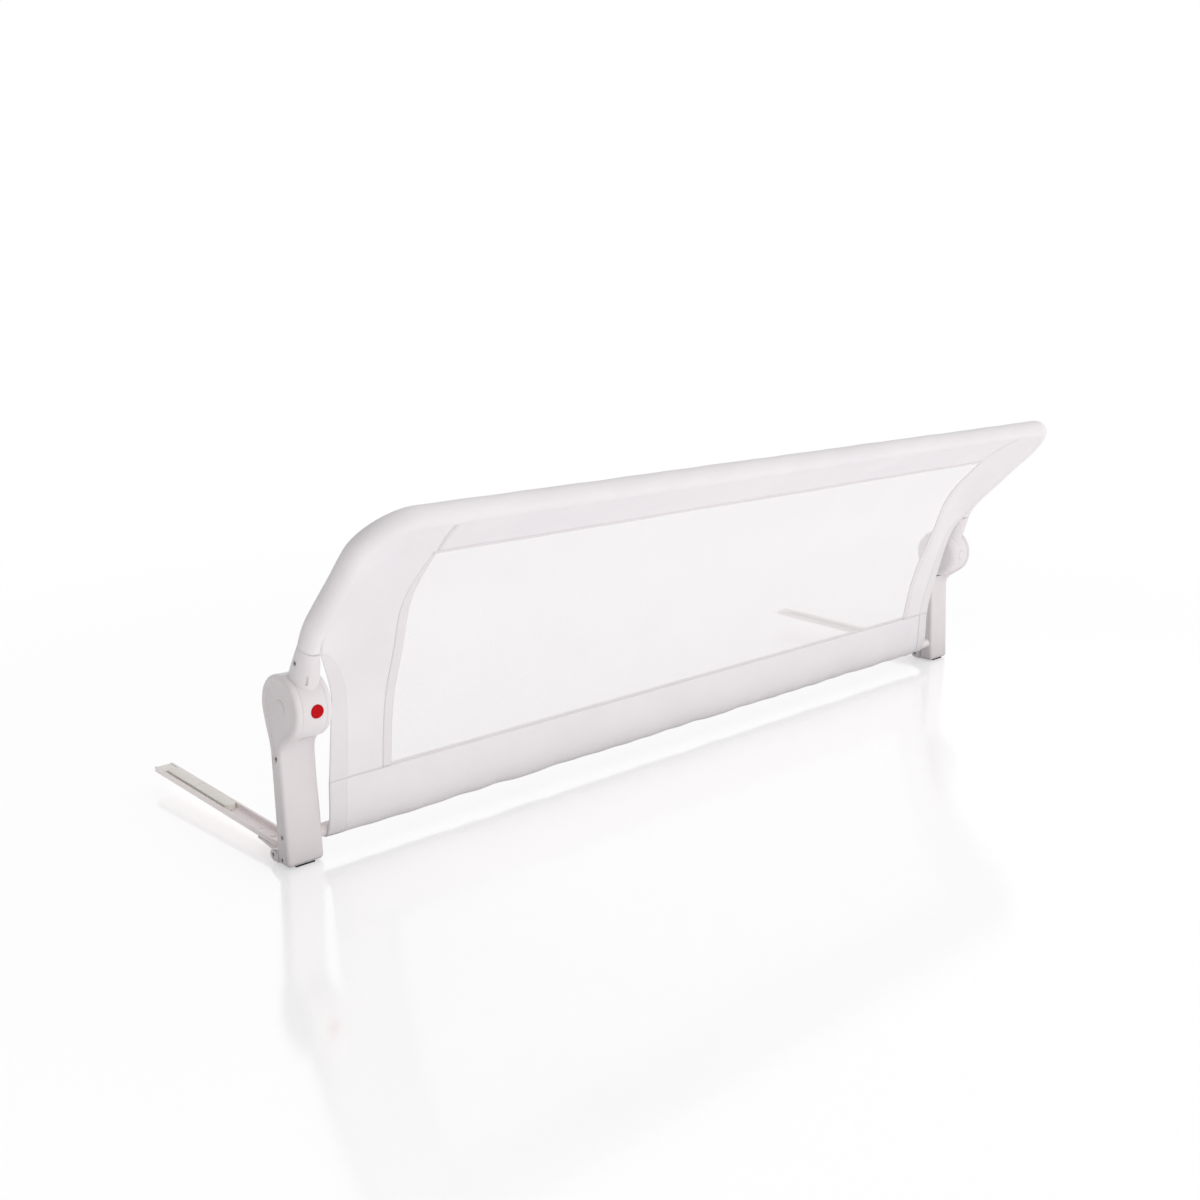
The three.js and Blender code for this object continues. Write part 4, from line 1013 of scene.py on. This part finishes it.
def from_tube(x, along):
    """Distance in the cloth from the middle of the bent tube: to its side, its top or its round corner."""
    length = SOCKET_MOUTH + along - LOWER_RUN
    side = (tube_half(length) - np.abs(x)) * math.cos(side_angle)
    nearest = np.minimum(side, FRAME_REACH - length)
    over, beside = length - corner_length, np.abs(x) + corner_x
    in_corner = (over > 0) & (beside > 0)
    return np.where(in_corner, CORNER_RADIUS - np.hypot(over, beside), nearest)


def over_tube(x, along):
    """The lift of cloth off its line: 13.8 (1 - d/78)^1.5 at a distance d from the tube's middle.

    Below the sleeve, where its free end lies over the socket, it is at least the circle
    sqrt(15.6^2 - d^2), less 0.29 mm for every mm further down.
    """
    aside = from_tube(x, along)
    lead = np.clip(LOWER_RUN - along, 0, None)
    bulge = np.sqrt(np.clip(15.6**2 - aside**2, 0, None)) - 0.29 * lead
    slope = 13.8 * np.clip(1 - aside / 78, 0, 1) ** 1.5 * np.clip(1 - lead / 45, 0, 1) ** 2
    return np.maximum(np.where(along < LOWER_RUN, bulge, 0), slope)


def pulled(x, along):
    """The lower right of the cloth is drawn in by 12 mm, and by 14 mm more at its edge."""
    inwards = 12 * eased((x - 400) / 280) + 14 * eased((x - 600) / 88)
    return x - inwards * eased((230 - along) / 150)


def ripple(x, along, size):
    """Slow unevenness of cloth: 0.5 a + 0.35 b + 0.15 c, three waves with unrelated lengths."""
    a = np.sin(x / 31.0 + 1.3 * np.sin(along / 47.0)) * np.sin(along / 39.0 + 0.7)
    b = np.sin(x / 71.0 - along / 53.0 + 2.1)
    c = np.sin(x / 17.0 + along / 61.0 + 0.4) * np.sin(along / 23.0)
    return size * (0.5 * a + 0.35 * b + 0.15 * c)


BELLY_DEPTH = 20
BELLY_AT = 262  # length along the cloth
BELLY_REACH = 68  # to where it has shrunk to 37 %


def cloth_places(x, along, rough=0.6):
    """3-D places of the cloth for arrays of X and length along it. rough is the height of its ripples."""
    x, along = np.broadcast_arrays(np.asarray(x, float), np.asarray(along, float))
    share = taut(x, along)
    middle = cloth_line(along)
    middle = middle + (easy_place(along) - middle) * share[..., None]
    run = unit(easy_place(along + 1) - easy_place(along - 1))
    normal = np.stack([-run[..., 1], run[..., 0]], -1)
    calm = np.clip((cloth_edge(along) - np.abs(x)) / 30, 0, 1) * eased((along - CLOTH_START) / 45)
    belly = BELLY_DEPTH * np.exp(-(((along - BELLY_AT) / BELLY_REACH) ** 2)) * share
    lift = ripple(x, along, rough) * calm + over_tube(x, along)
    y = middle[..., 0] - belly + normal[..., 0] * lift
    return np.stack([pulled(x, along), y, middle[..., 1] + normal[..., 1] * lift], -1)


print("deepest place of the belly:", np.round(cloth_places(0, BELLY_AT), 1), "mm")

# %% [markdown]
# All cloth between posts and frame is cut from this one surface, each piece as a grid of its own. Real
# cloth is about a millimetre thick, which a Solidify modifier adds. Cloth that crosses the fold rides on
# neither body.


# %% Sheets of cloth
def thick(piece, thickness, offset=0.0):
    """Gives a sheet its thickness with a Solidify modifier. Offset 0 puts half on each side."""
    step = piece.modifiers.new("thickness", "SOLIDIFY")
    step.thickness = thickness * MM
    step.offset = offset
    return piece


# Two places of the cloth's line: at 111 mm, and at 297 mm by the sockets' mouths. Between them the cloth
# crosses the fold.
CROSSING = dict(
    start=tuple(placed(0, cloth_line(75.7)[0], 111)),
    end=tuple(placed(0, mouth[0], 297)),
)


def hang(piece, material, slot, *nodes):
    """Cloth that crosses the fold: its finish and the imported nodes that it stands for, with its place
    baked into its mesh.
    """
    dress(piece, material, slot, None, *nodes)
    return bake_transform(piece)


def sheet_mesh(name, x, along, rough=0.6):
    """A grid of cloth whose UV map holds X and length along it, in metres."""
    x, along = np.broadcast_arrays(np.asarray(x, float), np.asarray(along, float))
    places = cloth_places(x, along, rough)
    rows, columns = x.shape
    return skin(name, places, grid(rows, columns), np.stack([x, along], -1) * MM)


low, high = (round(CROSSING[end][2], 3) for end in ("start", "end"))
print("cloth turns with the fold between Z =", low, "and", high, "m")

# %% [markdown]
# ## The sleeve of the frame
# The cloth wraps the tube and is sewn shut along a seam on the inner side. Pulled tight it leaves the tube
# along two tangents, so its section is a drop: r = R / cos(a - |f|) within the angle a of the seam and R
# elsewhere. The section is carried along the tube's route, which is first drawn flat.

# %% Route of the tube and its sleeve
def flat_route(start):
    """X and length of the tube's middle, from the left collar over the top to the right one."""
    rise = np.linspace(start, corner_start, 64)
    left = np.stack([-tube_half(rise), rise], 1)
    angle = np.linspace(math.pi + side_angle, math.pi / 2, 28)[1:]
    bend = (corner_x, corner_length) + CORNER_RADIUS * np.stack([np.cos(angle), np.sin(angle)], 1)
    across = np.linspace(corner_x, -corner_x, 130)[1:-1]
    top = np.stack([across, np.full_like(across, FRAME_REACH)], 1)
    half = np.vstack([left, bend])
    mirrored = half[::-1] * (-1, 1)
    return np.vstack([half, top, mirrored])


route = flat_route(SOCKET_MOUTH + 1.1)
route_run = unit(np.gradient(route, axis=0))
route_in = np.stack([route_run[:, 1], -route_run[:, 0]], 1)
route_way = way_along(route)
seam_line = route + route_in * seam_reach(np.minimum(route[:, 1], 300))[:, None]
SEAM_ANGLE = math.radians(8)  # from straight inwards towards the room
print("the tube's route is", round(route_way[-1]), "mm long")


def sleeve_section(around, radius, reach, puff):
    """The drop's radius at angles round the tube: (r + puff) / cos(a - |f|), f counted from the seam."""
    sharp = np.arccos(np.clip(radius / reach, 0, 1))
    past = np.clip(sharp - np.abs(around - SEAM_ANGLE), 0, None)
    return (radius + puff) / np.cos(past)


def frame_sleeve():
    """The drop section at every station: place = middle + r (cos f inwards + sin f towards the room)."""
    near_seam, far_side = np.linspace(-62, 62, 19), np.linspace(62, 298, 34)[1:-1]
    around = np.radians(np.concatenate([near_seam, far_side])) + SEAM_ANGLE
    wrapped = (around + np.pi) % (2 * np.pi) - np.pi
    length = route[:, 1]
    up = unit(frame_line(length + 0.5) - frame_line(length - 0.5))
    room = np.stack([np.zeros_like(length), -up[:, 1], up[:, 0]], 1)
    inward = np.column_stack([route_in[:, 0], up[:, 0] * route_in[:, 1], up[:, 1] * route_in[:, 1]])
    reach = SLEEVE_RADIUS + 13.2 * np.clip((length[:, None] - SOCKET_MOUTH - 6) / 40, 0, 1)
    way = route_way[:, None]
    to_end = np.minimum(route_way, route_way[-1] - route_way)
    calm = np.clip((to_end - 12) / 60, 0, 1)
    wave = np.sin(way / 37 + 2 * wrapped) * np.sin(way / 83 + 1)
    wave = wave + 0.6 * np.sin(way / 13.7 - 3 * wrapped + 0.5)
    puff = 0.28 * wave * calm[:, None] * (np.abs(wrapped) > 0.9)
    r = sleeve_section(wrapped[None], SLEEVE_RADIUS, reach, puff)
    centre = np.column_stack([route[:, 0], frame_line(length)])
    places = centre[:, None] + r[..., None] * (
        np.cos(wrapped)[None, :, None] * inward[:, None] + np.sin(wrapped)[None, :, None] * room[:, None]
    )
    # Its ends are cut askew as the sockets' mouths are: the outer side is moved up along the tube.
    near_end = np.clip(1 - to_end / 60, 0, 1)[:, None] ** 2
    slant = MOUTH_SLANT * (1 - np.cos(wrapped))[None] / 2 * near_end
    climb = np.column_stack([route_run[:, 0], up[:, 0] * route_run[:, 1], up[:, 1] * route_run[:, 1]])
    climb = climb * np.where(route_way < route_way[-1] / 2, 1, -1)[:, None]
    places = places + slant[..., None] * climb[:, None]
    uv = np.stack(np.broadcast_arrays(way, around[None] * SLEEVE_RADIUS), -1) * MM
    ring = places[len(places) // 2]
    girth = np.linalg.norm(ring - np.roll(ring, 1, 0), axis=1).sum()
    return skin("frame_sleeve_cloth", places, grid(*places.shape[:2], around=True), uv), girth


sleeve, sleeve_girth = frame_sleeve()
thick(smooth(sleeve, 50), 1.2, -1)
dress(sleeve, white_cloth, "white_fabric", "upper_frame", "frame_sleeve")
print("sleeve has", len(sleeve.data.polygons), "faces")


# %% [markdown]
# ## Border, window and bands
# The border lies between the seam and the window. Its grid runs along the outline of the guard: each row
# goes from a point of the window's edge to the matching point of the seam, so the quads turn round the
# corner without a break.

# %% Border of the cloth
EVEN_TO = 330  # length up to which both edges rise together
CORNER_FROM = -628  # X of the outer edge that meets the window's corner


def border_ends():
    """Matching points of the outer edge and the window's edge, from the left foot over the top."""
    rise = np.linspace(CLOTH_START, LOWER_RUN, 44)
    lower = np.stack([-cloth_edge(rise), rise], 1)
    upper = seam_line - (0, SOCKET_MOUTH - LOWER_RUN)
    outer = np.vstack([lower, upper, lower[::-1] * (-1, 1)])
    turn = int(np.argmax((outer[:, 0] > CORNER_FROM) & (outer[:, 1] > WINDOW_TOP)))
    easy = int(np.argmax(outer[:, 1] > EVEN_TO))
    way = way_along(outer)
    rising = EVEN_TO + (way - way[easy]) * (WINDOW_TOP - EVEN_TO) / (way[turn] - way[easy])
    order = np.arange(len(outer))
    along = np.where(order <= easy, np.minimum(outer[:, 1], EVEN_TO), np.minimum(rising, WINDOW_TOP))
    across = -np.interp(-outer[:, 0], [0, 500, -outer[turn, 0]], [0, 500, window_half(WINDOW_TOP)])
    inner = np.stack([np.where(order <= turn, -window_half(along), across), along], 1)
    half = len(outer) // 2
    inner[half:] = (inner[: len(outer) - half] * (-1, 1))[::-1]
    return outer, inner, turn


outer_edge, window_edge, turn = border_ends()
share = np.linspace(0, 1, 19)[None, :, None]
flat_border = window_edge[:, None] + (outer_edge - window_edge)[:, None] * share
last_turn = len(flat_border) - turn - 1
panels = {
    "left_border_cloth": (flat_border[: turn + 1], ("left_upper_border", "left_lower_border")),
    "top_border_cloth": (flat_border[turn : last_turn + 1], ("top_border",)),
    "right_border_cloth": (flat_border[last_turn:], ("right_upper_border", "right_lower_border")),
}
for name, (flat, nodes) in panels.items():
    border = smooth(sheet_mesh(name, flat[..., 0], flat[..., 1]), 60)
    thick(border, 0.6)
    hang(border, white_cloth, "white_fabric", *nodes)
    print(name, "has", len(border.data.polygons), "faces")

# %% [markdown]
# The netting has threads under a millimetre wide. To model each would take millions of faces, so it is
# one sheet on the same surface, and its material lets more light through between the threads.

# %% Netting of the window
rows = np.linspace(CLOTH_START, WINDOW_TOP + 3, 90)[:, None]
columns = np.linspace(-1, 1, 181)[None] * (window_half(rows) + 3)
window = smooth(sheet_mesh("window_netting", columns, rows, rough=0.8), 60)
hang(window, netting, "white_netting", "upper_mesh", "lower_mesh")
print("netting has", len(window.data.polygons), "faces")

# %% [markdown]
# A band covers the netting's edge, a folded hem finishes each free side, and the parts of the border meet
# in seams. Each is a strip between two flat lines, laid on the same surface as the border, but thicker,
# so it stands a little proud and its edge throws a fine shadow.


# %% Bands and hems
TOP_BAND = 5  # width
HEM_PAST = 0.4  # how far a hem stands out past the edge of the cloth


def ribbon(name, inner, outer, columns):
    """A strip of cloth between two flat lines of (X, along) points: inner + s (outer - inner)."""
    share = np.linspace(0, 1, columns)[None, :, None]
    flat = inner[:, None] + (outer - inner)[:, None] * share
    return smooth(sheet_mesh(name, flat[..., 0], flat[..., 1]), 60)


def window_bands():
    """13.5 mm wide at the sides of the window, narrowing to the 5 mm of its top."""
    rise = np.linspace(CLOTH_START, WINDOW_TOP, 70)
    width = np.interp(rise, [WINDOW_TOP - 120, WINDOW_TOP], [13.5, TOP_BAND])
    left_in = np.stack([-window_half(rise) + 0.8, rise], 1)
    left_out = np.stack([-window_half(rise) - width, rise], 1)
    across = np.linspace(-1, 1, 150) * (window_half(WINDOW_TOP) + TOP_BAND)
    top_in = np.stack([across, np.full_like(across, WINDOW_TOP - 0.8)], 1)
    return [
        ribbon("left_window_band", left_in, left_out, 6),
        ribbon("right_window_band", left_out * (-1, 1), left_in * (-1, 1), 6),
        ribbon("top_window_band", top_in, top_in + (0, TOP_BAND), 4),
    ]


bands = window_bands()
for band in bands:
    thick(band, 0.9)
    hang(band, band_cloth, "white_fabric")

rise = np.linspace(CLOTH_START, LOWER_RUN - 1, 70)
hem_width = np.interp(rise, [0, 60, 150, 200, 235, LOWER_RUN - 1], [25, 29, 25, 21, 20, 9])
hem_out = np.stack([-cloth_edge(rise) - HEM_PAST, rise], 1)
hem_in = np.stack([-cloth_edge(rise) + hem_width, rise], 1)
left_hem = ribbon("left_side_hem", hem_out, hem_in, 16)
right_hem = ribbon("right_side_hem", hem_in * (-1, 1), hem_out * (-1, 1), 16)
for hem in (left_hem, right_hem):
    thick(hem, 1.2)
    hang(hem, band_cloth, "white_fabric")
bands += [left_hem, right_hem]


def seam(name, start, end, count=120):
    """A line of cloth in a darker tone, painted shade along a seam, 1.2 mm wide, between two flat points:
    the turned-in edge of a seam.
    """
    middle = np.linspace(start, end, count)
    run = unit(middle[-1:] - middle[:1])
    aside = np.stack([-run[:, 1], run[:, 0]], 1) * 1.2 / 2
    piece = ribbon(name, middle - aside, middle + aside, 2)
    thick(piece, 0.8)
    return hang(piece, seam_cloth, "white_fabric")


corner, top = window_edge[turn] + (0, TOP_BAND), outer_edge[turn]
bands += [
    seam("top_window_seam", corner, corner * (-1, 1)),
    seam("left_corner_seam", corner, top, count=30),
    seam("right_corner_seam", corner * (-1, 1), top * (-1, 1), count=30),
]
print("bands, hems and seams sewn on:", len(bands))


# %% [markdown]
# ## The lower sleeve
# The cloth goes on below the window round the lower tube and up its back to a seam. Its front hangs a
# little full, as a soft drop. The section is one closed line, carried along X, with slow creases that run
# slightly askew as the cloth twists round the tube.

# %% Lower sleeve
ROLL_TOP = WINDOW_BOTTOM + 1


def roll_section():
    """The drop: a full front from behind the border down, round under the tube, and up the back."""
    seam = easy_place(ROLL_TOP) + (0.5, 0)
    above = easy_place(ROLL_TOP - 32)
    low = LOWER_TUBE - (0, LOWER_SLEEVE)
    front = bezier(seam, above, (LOWER_TUBE[0] - LOWER_SLEEVE - 12, low[1]), low, 26)
    under = arc(LOWER_TUBE, LOWER_SLEEVE, -90, 15, 12)[1:]
    back = np.linspace(under[-1], seam + (1.6, 0), 10)[1:]
    return np.vstack([front, under, back])


section = roll_section()
tangent = unit(np.roll(section, -1, 0) - np.roll(section, 1, 0))
outwards = np.stack([tangent[:, 1], -tangent[:, 0]], 1)
if (outwards * (section - section.mean(0))).sum() < 0:
    outwards = -outwards
section_way = way_along(section)


def roll_places(x, way, proud=0.0):
    """Places on the lower sleeve at X and a way round its section, with creases askew: sin(X + way)."""
    x, way = np.broadcast_arrays(np.asarray(x, float), np.asarray(way, float))
    whole = section_way[-1]
    crease = np.sin((x + 0.6 * way) / 19.0 + 1.6 * np.sin(x / 67)) * np.sin(x / 151 + 0.5)
    crease = crease + 0.7 * np.sin((x - 0.9 * way) / 34.0 + 1.1) + 0.4 * np.sin((x + way) / 9.5)
    lift = 0.9 * crease * np.sin(way / whole * np.pi) + proud
    on_back = np.clip((way / whole - 0.47) / 0.2, 0, 1) * np.clip((whole - way) / whole / 0.2, 0, 1)
    narrow = 1 - 0.035 * eased(on_back)
    y, z, out_y, out_z = (np.interp(way, section_way, row) for row in (*section.T, *outwards.T))
    return np.stack([pulled(x * narrow, way * 0), y + out_y * lift, z + out_z * lift], -1)


stations = np.linspace(-FREE_HALF, FREE_HALF, 240)[:, None]
places = roll_places(stations, section_way[None])
uv = np.stack(np.broadcast_arrays(stations, ROLL_TOP - section_way[None]), -1) * MM
roll = skin("lower_sleeve_cloth", places, grid(*places.shape[:2], around=True), uv)
thick(smooth(roll, 60), 1.4, -1)
dress(roll, white_cloth, "white_fabric", "base", "bottom_sleeve")

for side, word in SIDES:
    across = np.linspace(FREE_HALF + HEM_PAST, 661.0, 10)[:, None] * side
    down = np.linspace(4, 84, 40)[None]
    places = roll_places(across, down, 0.25)
    uv = np.stack(np.broadcast_arrays(across, ROLL_TOP - down), -1) * MM
    hem = skin(word + "_lower_hem", places, grid(*places.shape[:2]), uv)
    thick(smooth(hem, 60), 1.0)
    dress(hem, band_cloth, "white_fabric", "base")
    bands.append(hem)
print("lower sleeve has", len(roll.data.polygons), "faces")

# %% [markdown]
# ## The cut of the cloth
# Nothing here is gathered or stretched by much, so a sheet's flat sizes would be the lengths along its
# surface. The hems, bands and seams are sewn on the border and go with it.


# %% [markdown]
# ## Floor, light and background
# The guard stands on a white floor that runs into a white background. The camera sees the floor's own
# glow, a share of real shading that keeps the contact shadow, and a faint gloss for the reflection. The
# rays that light the guard see a plain white floor instead, darker in a strip beneath the guard, where a
# real floor lies in its shade.


# %% Floor
def looking_rays(tree):
    """1 for camera, mirror and glass rays, 0 for the rays that light the object."""
    ray = tree.nodes.new("ShaderNodeLightPath")
    seen = sums(tree, "MAXIMUM", ray.outputs["Is Camera Ray"], ray.outputs["Is Glossy Ray"])
    return sums(tree, "MAXIMUM", seen, ray.outputs["Is Transmission Ray"])


def shader_of(tree, kind, **values):
    """The output of a new shader node with some of its sockets set."""
    node = tree.nodes.new("ShaderNode" + kind)
    for name, value in values.items():
        node.inputs[name].default_value = value
    return node.outputs[0]


def joined(tree, first, second, factor=None):
    """The sum of two shaders, or with a factor from 0 to 1 the way from the first to the second."""
    node = tree.nodes.new("ShaderNodeAddShader" if factor is None else "ShaderNodeMixShader")
    sockets = [first, second] if factor is None else [factor, first, second]
    for socket, source in zip(node.inputs, sockets):
        tree.links.new(source, socket)
    return node.outputs[0]


def studio_floor():
    """A wide disc. The camera sees glow + shading + gloss, fading to plain white far away."""
    angle = np.linspace(0, 2 * np.pi, 96, endpoint=False)
    ring = np.stack([9000 * np.cos(angle), 9000 * np.sin(angle) - SHIFT, np.full(96, -0.02)], 1)
    floor = skin("floor", ring, [list(range(96))])
    material = bpy.data.materials.new("studio_floor")
    material.use_nodes = True
    tree = material.node_tree
    tree.nodes.clear()
    where = tree.nodes.new("ShaderNodeTexCoord").outputs["Object"]

    shading = shader_of(tree, "BsdfDiffuse", Color=(0.36, 0.36, 0.36, 1))
    gloss = shader_of(tree, "BsdfGlossy", Color=(0.27, 0.27, 0.27, 1), Roughness=0.12)
    glow = shader_of(tree, "Emission", Strength=0.46)
    near = joined(tree, joined(tree, shading, gloss), glow)
    distance = tree.nodes.new("ShaderNodeVectorMath")
    distance.operation = "LENGTH"
    tree.links.new(where, distance.inputs[0])
    far = between(tree, distance.outputs["Value"], 0.0, 1.0, 1.1, 2.2)
    seen = joined(tree, near, shader_of(tree, "Emission", Strength=1.0), far)

    # Painted light and shade: for the rays that light the guard, the floor glows a little as bounced
    # light, and its colour and glow are darker within 0.15 m of the guard's line, as painted shade beneath
    # it.
    parts = tree.nodes.new("ShaderNodeSeparateXYZ")
    tree.links.new(where, parts.inputs["Vector"])
    away = sums(tree, "ABSOLUTE", sums(tree, "ADD", parts.outputs["Y"], -SHIFT * MM), 0.0)
    white = shader_of(tree, "BsdfDiffuse")
    lift = shader_of(tree, "Emission")
    colour = between(tree, away, (0.38, 0.37, 0.38), (0.95, 0.94, 0.95), 0.02, 0.15)
    tree.links.new(colour, white.node.inputs["Color"])
    tree.links.new(between(tree, away, 0.05, 0.3, 0.02, 0.15), lift.node.inputs["Strength"])

    output = tree.nodes.new("ShaderNodeOutputMaterial")
    choice = joined(tree, joined(tree, white, lift), seen, looking_rays(tree))
    tree.links.new(choice, output.inputs["Surface"])
    floor.data.materials.append(material)
    return floor


floor = studio_floor()
print("floor is", round(2 * floor.data.vertices[0].co.x, 1), "m wide")

# %% [markdown]
# In the photograph the light comes from all sides, a little more from the right and from the room, and
# the shadows are faint. So the world gives most of it, as a fill that changes with direction, and one wide
# lamp on the room side adds the soft shadows. A picture of a sky would bring its own tones with it.


# %% World and lamps
def studio_world(level, right, front, above):
    """White for camera, mirror and glass rays. For all others a fill that changes along X, -Y and Z."""
    world = bpy.data.worlds.new("studio")
    bpy.context.scene.world = world
    world.use_nodes = True
    tree = world.node_tree
    background = tree.nodes["Background"]
    background.inputs["Color"].default_value = (1, 1, 1, 1)
    way = tree.nodes.new("ShaderNodeTexCoord")
    parts = tree.nodes.new("ShaderNodeSeparateXYZ")
    tree.links.new(way.outputs["Generated"], parts.inputs["Vector"])
    fill = between(tree, parts.outputs["X"], level - right, level + right, -1.0, 1.0)
    fill = sums(tree, "ADD", fill, between(tree, parts.outputs["Y"], front, -front, -1.0, 1.0))
    fill = sums(tree, "ADD", fill, between(tree, parts.outputs["Z"], 0.0, above, 0.0, 0.8))
    tree.links.new(sums(tree, "MAXIMUM", looking_rays(tree), fill), background.inputs["Strength"])


def soft_lamp(name, place, target, size, power):
    """A square area lamp that faces a target."""
    data = bpy.data.lights.new(name, "AREA")
    data.shape = "SQUARE"
    data.size = size
    data.energy = power
    lamp = bpy.data.objects.new(name, data)
    lamp.location = place
    lamp.rotation_euler = (Vector(target) - Vector(place)).to_track_quat("-Z", "Y").to_euler()
    bpy.context.scene.collection.objects.link(lamp)
    return lamp


studio_world(0.68, right=0.42, front=0.27, above=0.03)
lamp = soft_lamp("key", (0.2, -3.5, 1.2), (0, 0, 0.25), size=2.6, power=6)
bpy.context.scene.view_settings.view_transform = "Standard"
print("one lamp of", lamp.data.energy, "W and a world that fills the rest")

# %% [markdown]
# ## The dressed model
# The arms end 22 mm sooner than in the imported model, and the cloth stands out by a millimetre.

# %% Update the scene
bpy.context.view_layer.update()
